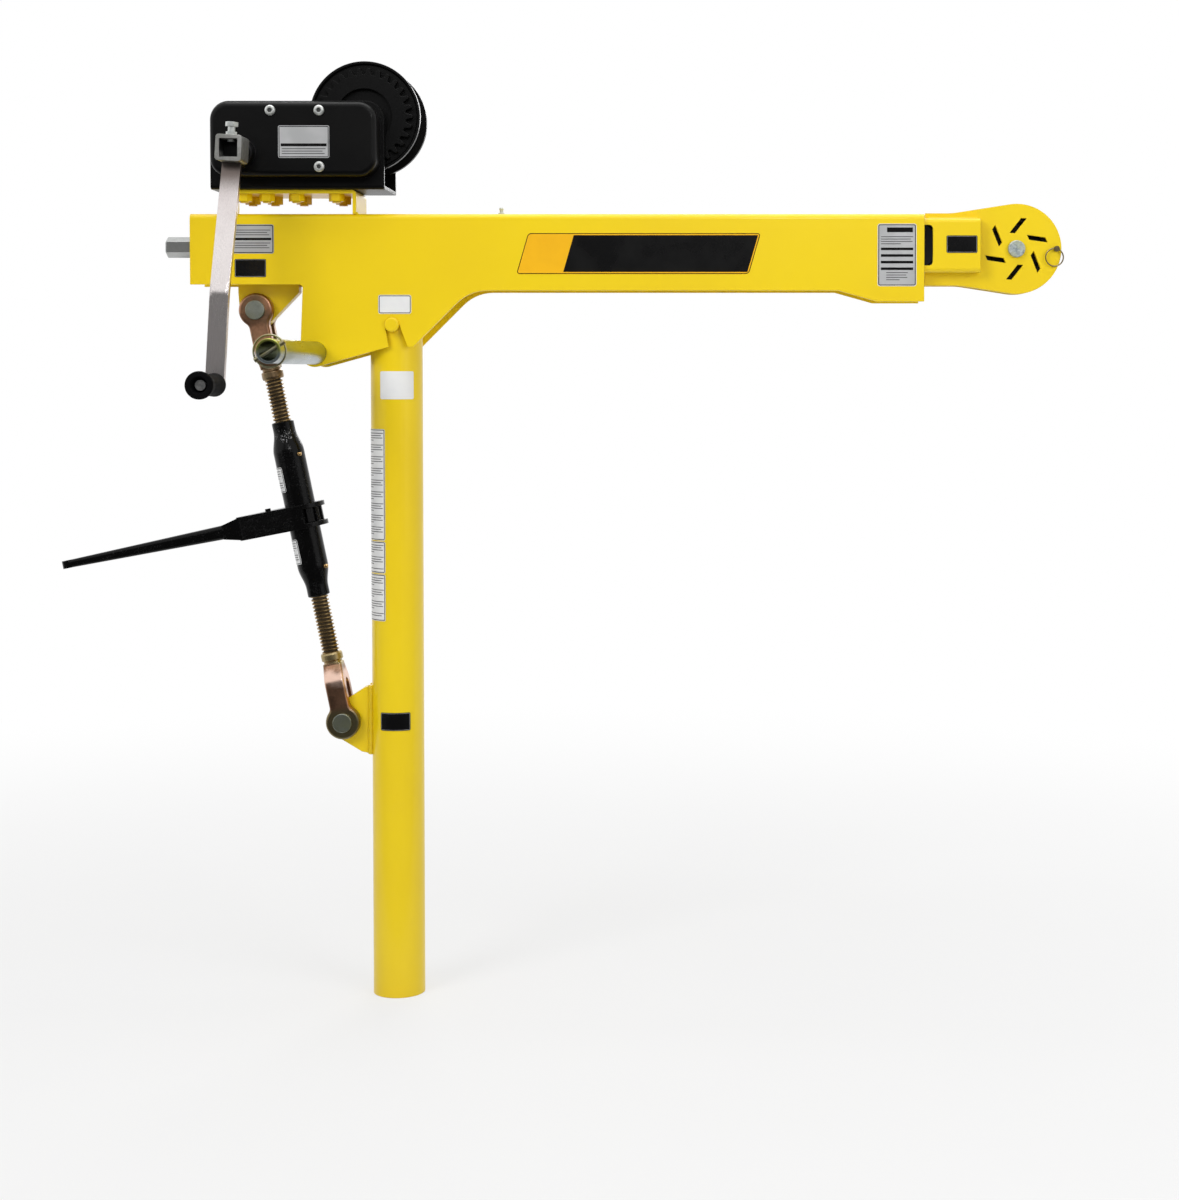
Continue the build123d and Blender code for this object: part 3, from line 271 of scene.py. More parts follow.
def socketSteel():
    look = {"light": colour(0.56, 0.56, 0.54), "dark": colour(0.32, 0.32, 0.30),
            "inside": colour(0.006, 0.006, 0.006), "rough": 0.34, "edge": 1.0 * mm}
    hole = {"x": -0.2005, "z": 1.1843, "low": 12.1 * mm, "high": 12.7 * mm}
    f = Finish("socketSteel")
    x, y, z = f.axes()
    cloud = f.step(f.noise(40, 5.0, 0.65), 0.32, 0.70)
    # painted shade: inside the square bore the colour turns near-black and loses its metal
    outside = f.step(abs(x - hole["x"]).above(abs(z - hole["z"])), hole["low"], hole["high"])
    tone = f.blend(outside, look["inside"], f.blend(cloud, look["light"], look["dark"]))
    skin = f.bump(f.noise(300, 4.0, 0.6), 0.2, 0.3 * mm, f.softEdges(look["edge"]))
    rough = look["rough"] + cloud * 0.12
    return f.surface({"Base Color": tone, "Metallic": outside * 0.9, "Roughness": rough, "Normal": skin})


def forgedPlate():
    look = {"copper": colour(0.50, 0.27, 0.165), "brown": colour(0.19, 0.105, 0.065),
            "olive": colour(0.21, 0.19, 0.10), "paleSheen": colour(0.95, 0.68, 0.56),
            "gold": colour(0.52, 0.44, 0.22), "rough": 0.27, "edge": 1.2 * mm}
    eye = {"low": 0.402, "high": 0.416}
    wearAndSheen = {"start": 0.439, "full": 0.449, "fading": 0.458, "end": 0.468}  # a painted highlight, a pale band across the shoulder of the jaw
    collar = {"start": 0.470, "full": 0.474, "fading": 0.50, "end": 0.51}
    f = Finish("yellowPlate")

    def between(height, zone):
        rising = f.step(height, zone["start"], zone["full"])
        return rising * (1 - f.step(height, zone["fading"], zone["end"]))

    cloud = f.step(f.noise(30, 5.0, 0.65), 0.36, 0.66)
    fine = f.noise(150, 4.0, 0.6)
    stain = f.step(f.noise(13, 3.0, 0.6, offset=(3, 1, 2)), 0.46, 0.64)
    height = f.axes()[2] + cloud * 0.006
    tone = f.blend(cloud, look["copper"], look["brown"])
    tone = f.blend(stain * 0.6, tone, look["olive"])
    tone = f.blend((1 - f.step(height, eye["low"], eye["high"])) * 0.85, tone, look["olive"])
    # painted highlight on the shoulder
    tone = f.blend(between(height, wearAndSheen) * 0.8, tone, look["paleSheen"])
    tone = f.blend(between(height, collar) * 0.65, tone, look["gold"])
    skin = f.bump(fine, 0.30, 0.3 * mm, f.softEdges(look["edge"]))
    rough = look["rough"] + cloud * 0.10 + fine * 0.06
    return f.surface({"Base Color": tone, "Metallic": 1.0, "Roughness": rough, "Normal": skin})


def threadPlate():
    look = {"light": colour(0.46, 0.32, 0.15), "dark": colour(0.27, 0.185, 0.09),
            "paintedRootShade": colour(0.018, 0.012, 0.007), "rough": 0.34}
    screw = {"unshadedFrom": 12.0 * mm, "shadedUpTo": 10.4 * mm}
    f = Finish("threadPlate")
    x, y, z = f.axes()
    across = (x - eyes["lower"].x) * math.cos(lean) + (z - eyes["lower"].z) * math.sin(lean)
    radius = (across * across + y * y).power(0.5)
    cloud = f.step(f.noise(40, 5.0, 0.65), 0.32, 0.70)
    fine = f.noise(200, 4.0, 0.6)
    paintedRootShade = 1 - f.step(radius + fine * 0.0004, screw["shadedUpTo"], screw["unshadedFrom"])  # painted shade, darker in the roots of the thread
    tone = f.blend(cloud, look["light"], look["dark"])
    tone = f.blend(paintedRootShade * 0.88, tone, look["paintedRootShade"])
    skin = f.bump(fine, 0.25, 0.3 * mm)
    rough = look["rough"] + paintedRootShade * 0.25
    return f.surface({"Base Color": tone, "Metallic": 1 - paintedRootShade * 0.6, "Roughness": rough, "Normal": skin})


def screwZinc():
    look = {"light": colour(0.74, 0.75, 0.73), "dark": colour(0.40, 0.42, 0.40),
            "hole": colour(0.03, 0.03, 0.03), "rough": 0.28, "edge": 0.6 * mm}
    head = {"x": (-0.159, -0.092), "z": (1.1655, 1.2425), "low": 2.9 * mm, "high": 3.2 * mm}
    f = Finish("screwZinc")
    x, y, z = f.axes()
    aside = abs(x - head["x"][0]).below(abs(x - head["x"][1]))
    above = abs(z - head["z"][0]).below(abs(z - head["z"][1]))
    # painted shade: the hexagon sockets of the screw heads are painted near-black
    hole = 1 - f.step((aside * aside + above * above).power(0.5), head["low"], head["high"])
    cloud = f.step(f.noise(160, 4.0, 0.65), 0.36, 0.64)
    tone = f.blend(cloud, look["light"], look["dark"])
    tone = f.blend(hole * 0.9, tone, look["hole"])
    skin = f.bump(cloud, 0.15, 0.3 * mm, f.softEdges(look["edge"]))
    return f.surface({"Base Color": tone, "Metallic": 0.7, "Roughness": look["rough"] + cloud * 0.12,
                      "Normal": skin})


def softPlastic(name, base, rough, grain, shine):
    f = Finish(name)
    speck = f.noise(grain, 3.0, 0.6)
    drift = f.step(f.noise(16, 3.0), 0.35, 0.7)
    paler = colour(*[part * 1.5 for part in base[:3]])
    skin = f.bump(speck, 0.25, 0.4 * mm, f.softEdges(0.8 * mm))
    return f.surface({"Base Color": f.blend(drift, base, paler), "Roughness": rough + speck * 0.1,
                      "Normal": skin, "Specular IOR Level": shine})


def vinyl(name, base, other, rough):
    f = Finish(name)
    drift = f.step(f.noise(22, 3.0), 0.35, 0.7)
    skin = f.bump(f.noise(500, 3.0, 0.6), 0.05, 0.2 * mm)
    return f.surface({"Base Color": f.blend(drift, base, other), "Roughness": rough + drift * 0.06,
                      "Normal": skin, "Specular IOR Level": 0.22})


def foil():
    look = {"light": colour(0.52, 0.525, 0.53), "dark": colour(0.42, 0.425, 0.43), "metal": 0.30,
            "rough": 0.36}
    f = Finish("labelSilver")
    lines = f.noise(60, 5.0, 0.7, (0.5, 12, 12))
    drift = f.step(f.noise(18, 3.0), 0.35, 0.7)
    tone = f.blend(drift, look["light"], look["dark"])
    skin = f.bump(lines, 0.06, 0.2 * mm)
    rough = look["rough"] + lines * 0.08
    return f.surface({"Base Color": tone, "Metallic": look["metal"], "Roughness": rough, "Normal": skin})


finishes = {
    "yellow": paintYellow(),
    "winchBlack": paintBlack(),
    "forgedBlack": hammerBlack(),
    "zinc": metalFinish("brightZinc", colour(0.64, 0.66, 0.65), colour(0.42, 0.44, 0.43), 0.30,
                        tint=colour(0.58, 0.60, 0.50), metal=0.7),
    "pinZinc": metalFinish("pinZinc", colour(0.40, 0.43, 0.39), colour(0.24, 0.27, 0.24), 0.36, 0.0008,
                           colour(0.30, 0.31, 0.20), 200, 60, 0.25),
    "blueZinc": metalFinish("mottledZinc", colour(0.60, 0.66, 0.64), colour(0.24, 0.29, 0.31), 0.33, 0.0008,
                            colour(0.50, 0.54, 0.38), 320, 210, 0.30, 0.5),
    "wire": metalFinish("ringWire", colour(0.34, 0.27, 0.15), colour(0.15, 0.115, 0.06), 0.28, 0.0003,
                        colour(0.27, 0.24, 0.16), 260, 70),
    "darkSteel": metalFinish("darkSteel", colour(0.42, 0.42, 0.41), colour(0.20, 0.20, 0.20), 0.30,
                             blotch=160, metal=0.8),
    "pinGold": metalFinish("goldPin", colour(0.46, 0.40, 0.22), colour(0.28, 0.25, 0.14), 0.30, 0.0003,
                           colour(0.40, 0.42, 0.34), 220, 60),
    "shaftZinc": metalFinish("shaftZinc", colour(0.50, 0.51, 0.50), colour(0.34, 0.35, 0.34), 0.28),
    "bronze": forgedPlate(),
    "threadBronze": threadPlate(),
    "screwZinc": screwZinc(),
    "bar": brushedBar(),
    "tube": pullTubeZinc(),
    "socket": socketSteel(),
    "grip": softPlastic("gripRubber", colour(0.0036, 0.0036, 0.0038), 0.60, 700, 0.03),
    "nylon": softPlastic("wheelNylon", colour(0.004, 0.004, 0.004), 0.45, 500, 0.15),
    "brass": metalFinish("nippleBrass", colour(0.70, 0.46, 0.20), colour(0.48, 0.30, 0.12), 0.22, 0.0003),
    "labelBlack": vinyl("labelBlack", colour(0.0028, 0.0028, 0.003), colour(0.005, 0.005, 0.005), 0.26),
    "labelWhite": vinyl("labelWhite", colour(0.80, 0.80, 0.79), colour(0.74, 0.745, 0.75), 0.34),
    "labelAmber": vinyl("labelAmber", colour(0.88, 0.47, 0.012), colour(0.83, 0.43, 0.010), 0.32),
    "labelGrey": vinyl("labelGrey", colour(0.075, 0.075, 0.08), colour(0.10, 0.10, 0.10), 0.36),
    "labelSilver": foil(),
}
print("finishes made")

nodeFinish = {
    "yellow": ["mast_tube", "foot_plug", "mast_pin", "mast_lug", "boom_shell", "boom_floor", "rear_plate",
               "boom_lug", "winch_stand", "stand_bolts", "inner_tube", "head_plate_near", "head_plate_far"],
    "winchBlack": ["winch_frame", "winch_cover", "drum_core", "near_flange", "far_flange", "ring_gear",
                   # input_shaft is black as painted shade deep inside the crank hub
                   "input_shaft"],
    "forgedBlack": ["turnbuckle_barrel", "ratchet_gear", "ratchet_handle", "ratchet_pawl"],
    "zinc": ["drum_axle", "hub_bolt", "grease_nipple"],
    "screwZinc": ["cover_screws"],
    "pinZinc": ["lower_pin", "upper_pin"],
    "blueZinc": ["sheave_bolt"],
    "wire": ["keeper_pin"],
    "darkSteel": ["grip_spindle"],
    "pinGold": ["pull_pin"],
    "shaftZinc": ["drive_shaft"],
    "bronze": ["lower_screw", "upper_screw"],
    "threadBronze": ["lower_rod", "upper_rod"],
    "bar": ["crank_arm"],
    "tube": ["pull_tube"],
    "socket": ["crank_hub"],
    "grip": ["crank_grip"],
    "nylon": ["sheave"],
}
for finish, names in nodeFinish.items():
    for name in names:
        nodes[name].data.materials.clear()
        nodes[name].data.materials.append(finishes[finish])
print("frame painted")


# Modelling helpers

def onlyThis(piece):
    if bpy.context.mode != "OBJECT":
        bpy.ops.object.mode_set(mode="OBJECT")
    bpy.ops.object.select_all(action="DESELECT")
    piece.select_set(True)
    bpy.context.view_layer.objects.active = piece


def settle(piece, place=None):
    if place is not None:
        piece.matrix_world = place @ piece.matrix_world
    onlyThis(piece)
    bpy.ops.object.transform_apply(location=True, rotation=True, scale=True)
    return piece


def addPiece(name, adder, **settings):
    if bpy.context.mode != "OBJECT":
        bpy.ops.object.mode_set(mode="OBJECT")
    bpy.ops.object.select_all(action="DESELECT")
    adder(**settings)
    piece = bpy.context.object
    piece.name = name
    piece.data.name = name
    return piece


def selectFaces(piece, test):
    if bpy.context.mode == "OBJECT":
        bpy.ops.object.mode_set(mode="EDIT")
    bpy.ops.mesh.select_mode(type="FACE")
    bpy.ops.mesh.select_all(action="DESELECT")
    bpy.ops.object.mode_set(mode="OBJECT")
    for face in piece.data.polygons:
        face.select = test(face.normal)
    bpy.ops.object.mode_set(mode="EDIT")


def drawProfile(name, points):
    piece = addPiece(name, bpy.ops.mesh.primitive_plane_add, size=0.001)
    bpy.ops.object.mode_set(mode="EDIT")
    bpy.ops.mesh.select_mode(type="VERT")
    bpy.ops.mesh.select_all(action="SELECT")
    bpy.ops.mesh.merge(type="CENTER")
    bpy.ops.transform.translate(value=points[0])
    for before, after in zip(points, points[1:]):
        move = tuple(b - a for a, b in zip(before, after))
        bpy.ops.mesh.extrude_vertices_move(TRANSFORM_OT_translate={"value": move})
    bpy.ops.object.mode_set(mode="OBJECT")
    return piece


def revolve(piece, steps):
    onlyThis(piece)
    bpy.ops.object.mode_set(mode="EDIT")
    bpy.ops.mesh.select_all(action="SELECT")
    bpy.ops.mesh.spin(steps=steps, angle=2 * math.pi, center=(0, 0, 0), axis=(0, 0, 1))
    bpy.ops.mesh.select_all(action="SELECT")
    bpy.ops.mesh.remove_doubles(threshold=weldGap)
    bpy.ops.mesh.normals_make_consistent(inside=False)
    bpy.ops.object.mode_set(mode="OBJECT")
    return piece


def useModifier(piece, name, kind, **settings):
    onlyThis(piece)
    made = piece.modifiers.new(name, kind)
    for key, value in settings.items():
        setattr(made, key, value)
    bpy.ops.object.modifier_apply(modifier=made.name)


def dress(piece, finish, body):
    piece.data.materials.clear()
    piece.data.materials.append(finishes[finish])
    onlyThis(piece)
    bpy.ops.object.shade_smooth_by_angle(angle=sharp)
    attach(piece, body)
    return piece


# Studio

def makeFloor():
    # the floor glows more from near to far, both in metres
    ground = {"size": 120, "low": -0.5 * mm, "dark": colour(0.66, 0.66, 0.66),
              "light": colour(0.69, 0.69, 0.69), "near": 0.5, "far": 2.6, "white": 0.66}
    f = Finish("paleFloor")
    x, y, z = f.axes()
    away = f.step((x * x + y * y).power(0.5), ground["near"], ground["far"])
    cameraRay = f.node("ShaderNodeLightPath", {}, {}, "Is Camera Ray")
    glossRay = f.node("ShaderNodeLightPath", {}, {}, "Is Glossy Ray")
    cloud = f.blend(f.noise(4, 3.0), ground["dark"], ground["light"])
    matt = f.node("ShaderNodeBsdfDiffuse", {}, {"Color": cloud})
    glow = f.node("ShaderNodeEmission", {}, {"Color": colour(1, 1, 1), "Strength": 1.0})
    share = (cameraRay + glossRay).below(1.0) * (ground["white"] + away * (1 - ground["white"]))
    mixed = f.node("ShaderNodeMixShader", {}, {0: share, 1: matt, 2: glow})
    ending = f.tree.nodes.new("ShaderNodeOutputMaterial")
    f.tree.links.new(mixed.socket, ending.inputs["Surface"])
    bpy.ops.mesh.primitive_plane_add(size=ground["size"], location=(0, 0, ground["low"]))
    floor = bpy.context.object
    floor.name = "studioFloor"
    floor.data.materials.append(f.material)


def makeWorld():
    glow = {"soft": 0.30, "white": 1.0}  # the light on the object, and the white that is seen
    world = bpy.data.worlds.new("studio")
    bpy.context.scene.world = world
    world.use_nodes = True
    tree = world.node_tree
    tree.nodes.clear()
    rays = tree.nodes.new("ShaderNodeLightPath")
    soft = tree.nodes.new("ShaderNodeBackground")
    soft.inputs["Color"].default_value = (1, 1, 1, 1)
    soft.inputs["Strength"].default_value = glow["soft"]
    white = tree.nodes.new("ShaderNodeBackground")
    white.inputs["Color"].default_value = (1, 1, 1, 1)
    white.inputs["Strength"].default_value = glow["white"]
    first = tree.nodes.new("ShaderNodeMath")
    first.operation = "MAXIMUM"
    both = tree.nodes.new("ShaderNodeMath")
    both.operation = "MAXIMUM"
    choose = tree.nodes.new("ShaderNodeMixShader")
    ending = tree.nodes.new("ShaderNodeOutputWorld")
    tree.links.new(rays.outputs["Is Camera Ray"], first.inputs[0])
    tree.links.new(rays.outputs["Is Glossy Ray"], first.inputs[1])
    tree.links.new(first.outputs[0], both.inputs[0])
    tree.links.new(rays.outputs["Is Transmission Ray"], both.inputs[1])
    tree.links.new(both.outputs[0], choose.inputs[0])
    tree.links.new(soft.outputs[0], choose.inputs[1])
    tree.links.new(white.outputs[0], choose.inputs[2])
    tree.links.new(choose.outputs[0], ending.inputs["Surface"])


def areaLight(name, place, target, size, watts, gloss, diffuse=True):
    direction = Vector(target) - Vector(place)
    turn = direction.to_track_quat("-Z", "Y").to_euler()
    bpy.ops.object.light_add(type="AREA", location=place, rotation=turn)
    light = bpy.context.object
    light.name = name
    light.data.shape = "RECTANGLE"
    light.data.size, light.data.size_y = size
    light.data.energy = watts
    light.visible_glossy = gloss
    light.visible_diffuse = diffuse


def makeCard():
    card = {"wide": 12.0, "deep": 7.4, "high": 2.6, "away": 6.5, "low": 1 * mm, "glow": 0.10, "mat": -0.32}
    size = (card["wide"], card["deep"], card["high"])
    middle = (0.4, card["deep"] / 2 - card["away"], card["low"] + card["high"] / 2)
    board = addPiece("darkCard", bpy.ops.mesh.primitive_cube_add, size=1, location=middle, scale=size)
    selectFaces(board, lambda normal: normal.z > 0.9 or normal.y > 0.9)  # open above and behind
    bpy.ops.mesh.delete(type="FACE")
    selectFaces(board, lambda normal: abs(normal.z) > 0.9)
    bpy.ops.mesh.bisect(plane_co=(0, card["mat"], 0), plane_no=(0, 1, 0), clear_outer=True)
    bpy.ops.object.mode_set(mode="OBJECT")
    f = Finish("darkCard")
    glow = f.node("ShaderNodeEmission", {}, {"Color": colour(1, 1, 1), "Strength": card["glow"]})
    ending = f.tree.nodes.new("ShaderNodeOutputMaterial")
    f.tree.links.new(glow.socket, ending.inputs["Surface"])
    board.data.materials.append(f.material)
    board.visible_camera = False
    board.visible_diffuse = False
    board.visible_shadow = False
    board.visible_transmission = False


lights = {  # gloss: whether shiny surfaces mirror the lamp
    "keyLeft": {"place": (-2.2, -3.2, 3.0), "target": (0.1, 0, 0.75), "size": (1.8, 1.8), "watts": 84,
                "gloss": False},
    "fillRight": {"place": (2.8, -2.6, 1.7), "target": (0.2, 0, 0.8), "size": (2.0, 2.0), "watts": 50,
                  "gloss": False},
    "topSoft": {"place": (0.3, -0.4, 3.6), "target": (0.3, 0, 0.9), "size": (2.6, 2.0), "watts": 48,
                "gloss": True},
    "backSoft": {"place": (0.3, 3.2, 2.2), "target": (0.2, 0, 0.8), "size": (2.4, 1.6), "watts": 48,
                 "gloss": True},
    "smallSpark": {"place": (0.70, -2.63, 1.95), "target": (-0.15, 0, 0.78), "size": (0.30, 0.30),
                   "watts": 7.0, "gloss": True, "diffuse": False},
}
makeFloor()
makeWorld()
makeCard()
for name, light in lights.items():
    areaLight(name, **light)
print("studio lit")


# Coarse threads of the two screws, cut the whole length of each rod

def thread(name, node, body, start, end, hand):
    cut = {"pitch": 5.08 * mm, "root": 9.7 * mm, "crest": 12.4 * mm, "crestShare": 0.30, "rootShare": 0.24,
           "steps": 44}
    pitch = cut["pitch"]
    flank = (1 - cut["crestShare"] - cut["rootShare"]) / 2 * pitch
    turns = int((end - start) / pitch) - 1
    heights = [0, cut["rootShare"] * pitch / 2]
    heights += [heights[1] + flank, heights[1] + flank + cut["crestShare"] * pitch]
    heights += [heights[3] + flank, pitch]
    radii = [cut["root"], cut["root"], cut["crest"], cut["crest"], cut["root"], cut["root"]]
    piece = drawProfile(name, [(radius, 0, start + height) for radius, height in zip(radii, heights)])
    useModifier(piece, "turns", "SCREW", angle=hand * 2 * math.pi, screw_offset=pitch, iterations=turns,
                steps=cut["steps"], render_steps=cut["steps"], use_merge_vertices=True,
                merge_threshold=weldGap)
    onlyThis(piece)
    bpy.ops.object.mode_set(mode="EDIT")
    bpy.ops.mesh.select_all(action="SELECT")
    bpy.ops.mesh.remove_doubles(threshold=weldGap)
    bpy.ops.mesh.fill_holes(sides=0)
    bpy.ops.mesh.select_all(action="SELECT")
    bpy.ops.mesh.normals_make_consistent(inside=False)
    bpy.ops.object.mode_set(mode="OBJECT")
    settle(piece, onLink)
    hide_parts(node)
    return dress(piece, "threadBronze", body)


thread("lowerThread", "lower_rod", "lower_screw", 95.5 * mm, 249.0 * mm, -1)
thread("upperThread", "upper_rod", "upper_screw", 367.0 * mm, 502.0 * mm, 1)
print("threads cut")


# Long nut of the turnbuckle: round shoulders drawn as one turned profile

def barrel():
    nut = {"low": 181.6 * mm, "high": 434.0 * mm, "mouth": 15.5 * mm, "full": 21.5 * mm, "bore": 12.56 * mm,
           "straight": 13 * mm, "shoulder": 31 * mm, "lip": 1.2 * mm, "depth": 60 * mm, "points": 12,
           "steps": 64}

    def shoulder(end, inward):
        rows = []
        for number in range(nut["points"] + 1):
            share = number / nut["points"]
            swell = share * share * (3 - 2 * share)
            radius = nut["mouth"] + (nut["full"] - nut["mouth"]) * swell
            rows.append((radius, 0, end + inward * (nut["straight"] + nut["shoulder"] * share)))
        return rows

    low, high, lip = nut["low"], nut["high"], nut["lip"]
    points = [(nut["bore"], 0, low + nut["depth"]), (nut["bore"], 0, low), (nut["mouth"] - lip, 0, low),
              (nut["mouth"], 0, low + lip)]
    points += shoulder(low, 1)
    points += list(reversed(shoulder(high, -1)))
    points += [(nut["mouth"], 0, high - lip), (nut["mouth"] - lip, 0, high), (nut["bore"], 0, high),
               (nut["bore"], 0, high - nut["depth"]), (nut["bore"], 0, low + nut["depth"])]
    piece = revolve(drawProfile("barrelNut", points), nut["steps"])
    settle(piece, onLink)
    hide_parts("turnbuckle_barrel")
    return dress(piece, "forgedBlack", "barrel")


barrel()


# Brass nipples on the long nut

def barrelNipple(name, height, angle, surface):
    cap = {"rows": [(0, -1.5), (2.6, -1.5), (2.6, 1.6), (1.7, 2.1), (1.7, 2.4), (2.5, 3.4), (2.5, 4.6),
                    (1.55, 5.7), (0.75, 6.0), (0, 6.0)], "steps": 24}  # radius and height of its outline
    points = [(radius * mm, 0, rise * mm) for radius, rise in cap["rows"]]
    piece = revolve(drawProfile(name, points), cap["steps"])
    outward = Matrix.Translation((0, 0, height)) @ Matrix.Rotation(angle, 4, "Z")
    outward = outward @ Matrix.Translation((0, -surface, 0)) @ Matrix.Rotation(math.radians(90), 4, "X")
    settle(piece, onLink @ outward)
    return dress(piece, "brass", "barrel")


barrelNipple("upperNipple", 384.3 * mm, math.radians(47), 21.2 * mm)
barrelNipple("lowerNipple", 221.5 * mm, math.radians(60), 21.0 * mm)
print("long nut turned")


# Labels, all plain, without print: a thin sheet with rings set in from its edge, then plain bands on it

def giveFinish(piece, finish):
    names = [material.name for material in piece.data.materials]
    piece.active_material_index = names.index(finishes[finish].name)
    bpy.ops.object.material_slot_assign()


def labelSheet(name, label):
    width, height = label["size"]
    slant = label.get("slant", 0) / height
    piece = addPiece(name, bpy.ops.mesh.primitive_plane_add, size=1)
    piece.scale = (width * mm, height * mm, 1)
    settle(piece)
    for vertex in piece.data.vertices:
        vertex.co.x += vertex.co.y * slant
    bpy.ops.object.mode_set(mode="EDIT")
    bpy.ops.mesh.select_mode(type="VERT")
    bpy.ops.mesh.select_all(action="SELECT")
    bpy.ops.mesh.bevel(offset=label["corner"] * mm, segments=5, affect="VERTICES")
    bpy.ops.mesh.select_all(action="SELECT")
    bpy.ops.mesh.select_mode(type="FACE")
    bpy.ops.mesh.extrude_region_move(TRANSFORM_OT_translate={"value": (0, 0, 0.25 * mm)})
    bands = label.get("bands", [])
    for finish in sorted({row[0] for row in label["layers"] + bands}):
        piece.data.materials.append(finishes[finish])
    for finish, margin in label["layers"]:
        if margin > 0:
            bpy.ops.mesh.inset(thickness=margin * mm, depth=0, use_even_offset=True, use_boundary=True)
        giveFinish(piece, finish)
    for finish, left, low, wide, high in bands:
        rise = low + high / 2
        middle = ((left + wide / 2 + rise * slant) * mm, rise * mm, 0.25 * mm)
        bpy.ops.mesh.select_all(action="DESELECT")
        bpy.ops.mesh.primitive_plane_add(size=1, location=middle)
        bpy.ops.transform.resize(value=(wide * mm, high * mm, 1), center_override=middle)
        bpy.ops.object.mode_set(mode="OBJECT")
        for vertex in piece.data.vertices:
            if vertex.select:
                vertex.co.x += (vertex.co.y - middle[1]) * slant
        bpy.ops.object.mode_set(mode="EDIT")
        bpy.ops.mesh.extrude_region_move(TRANSFORM_OT_translate={"value": (0, 0, 0.05 * mm)})
        giveFinish(piece, finish)
    bpy.ops.object.mode_set(mode="OBJECT")
    return piece


def flatLabel(name, body, label):
    piece = labelSheet(name, label)
    at = label["at"]
    place = Matrix.Translation((at[0] * mm, (label["face"] - 0.02) * mm, at[1] * mm))
    settle(piece, place @ Matrix.Rotation(math.radians(90), 4, "X"))
    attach(piece, body)
    return piece


def wrappedLabel(name, body, label, place=None):
    radius = label["radius"] + 0.06
    low, high = label["angles"]
    width = math.radians(high - low) * radius
    piece = labelSheet(name, dict(label, size=(width, label["top"] - label["low"])))
    strips = round(width / label["facet"])
    bpy.ops.object.mode_set(mode="EDIT")
    for number in range(1, strips):
        bpy.ops.mesh.select_all(action="SELECT")
        cut = (number / strips - 0.5) * width * mm
        bpy.ops.mesh.bisect(plane_co=(cut, 0, 0), plane_no=(1, 0, 0))
    bpy.ops.object.mode_set(mode="OBJECT")
    for vertex in piece.data.vertices:
        angle = math.radians((low + high) / 2) + vertex.co.x / (radius * mm)
        reach = radius * mm + vertex.co.z
        rise = vertex.co.y + (label["top"] + label["low"]) / 2 * mm
        vertex.co = (reach * math.sin(angle), -reach * math.cos(angle), rise)
    settle(piece, place or Matrix.Identity(4))
    bpy.ops.object.shade_smooth_by_angle(angle=math.radians(20))
    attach(piece, body)
    return piece


blackLabel = [("labelBlack", 0), ("labelSilver", 0.9), ("labelBlack", 0.35)]
whiteLabel = [("labelWhite", 0), ("labelBlack", 0.8), ("labelWhite", 1.1)]
boomFace, tubeFace, coverFace = -43.4, -38.0, -85.0

def rules(high, wide, low=None):  # plain grey lines where the small print stands
    line = {"pitch": 3.3, "thick": 1.1, "ends": (1.0, 0.93, 0.98, 0.62, 0.0)}
    low = -high / 2 if low is None else low
    rows = []
    for number in range(int(high / line["pitch"])):
        share = line["ends"][number % len(line["ends"])]
        if share:
            top = low + high - (number + 0.5) * line["pitch"]
            rows.append(("labelGrey", -wide / 2, top - line["thick"] / 2, wide * share, line["thick"]))
    return rows


flatLabels = {
    "boomStripe": ("boom", "black_paint", {
        "size": (324, 56.7), "at": (344.2, 1049.0), "face": boomFace, "slant": 16.5, "corner": 4.5,
        "layers": [("labelBlack", 0), ("labelAmber", 1.1)],
        "bands": [("labelBlack", -97.6, -25.6, 256.8, 51.2)]}),
    "ratingPlate": ("boom", "zinc_plate", {
        "size": (54.2, 87.0), "at": (704.4, 1047.1), "face": boomFace, "corner": 3.4,
        "layers": [("labelWhite", 0), ("labelBlack", 0.9), ("labelSilver", 1.3)],
        "bands": [("labelBlack", -14.0, 31.6, 36.0, 6.6), ("labelBlack", -22.5, 6.6, 45.0, 3.6),
                  ("labelBlack", -22.5, -2.6, 45.0, 3.6), ("labelBlack", -22.5, -11.8, 45.0, 3.6),
                  ("labelBlack", -22.5, -21.0, 45.0, 3.6)] + rules(15, 45, 12) + rules(15, 30, -38)}),
    "tubeLabel": ("inner_boom", "black_paint", {
        "size": (43.2, 24.3), "at": (795.5, 1062.4), "face": tubeFace, "corner": 2.0, "layers": blackLabel}),
    "rearLabel": ("boom", "black_paint", {
        "size": (43.8, 25.3), "at": (-196.8, 1028.8), "face": boomFace, "corner": 2.0, "layers": blackLabel}),
    "rearPlate": ("boom", "zinc_plate", {
        "size": (70.0, 40.6), "at": (-198.8, 1069.3), "face": boomFace, "corner": 3.0,
        "layers": [("labelSilver", 0), ("labelBlack", 0.9), ("labelSilver", 1.1)],
        "bands": [("labelBlack", -31.5, -1.8, 63.0, 3.4)] + rules(10, 60, 4) + rules(12, 60, -16)}),
    "pinLabel": ("boom", "zinc_plate", {
        "size": (46.0, 26.4), "at": (4.2, 978.3), "face": boomFace, "corner": 3.0, "layers": whiteLabel}),
    "winchPlate": ("boom", "zinc_plate", {
        "size": (70.2, 44.3), "at": (-113.2, 1199.7), "face": coverFace, "corner": 2.4,
        "layers": [("labelSilver", 0), ("labelBlack", 0.9), ("labelSilver", 1.1)],
        "bands": [("labelBlack", -31.5, -6.4, 63.0, 4.0)] + rules(10, 60, -18)}),
}
for name, (body, slot, label) in flatLabels.items():
    flatLabel(name, body, label)

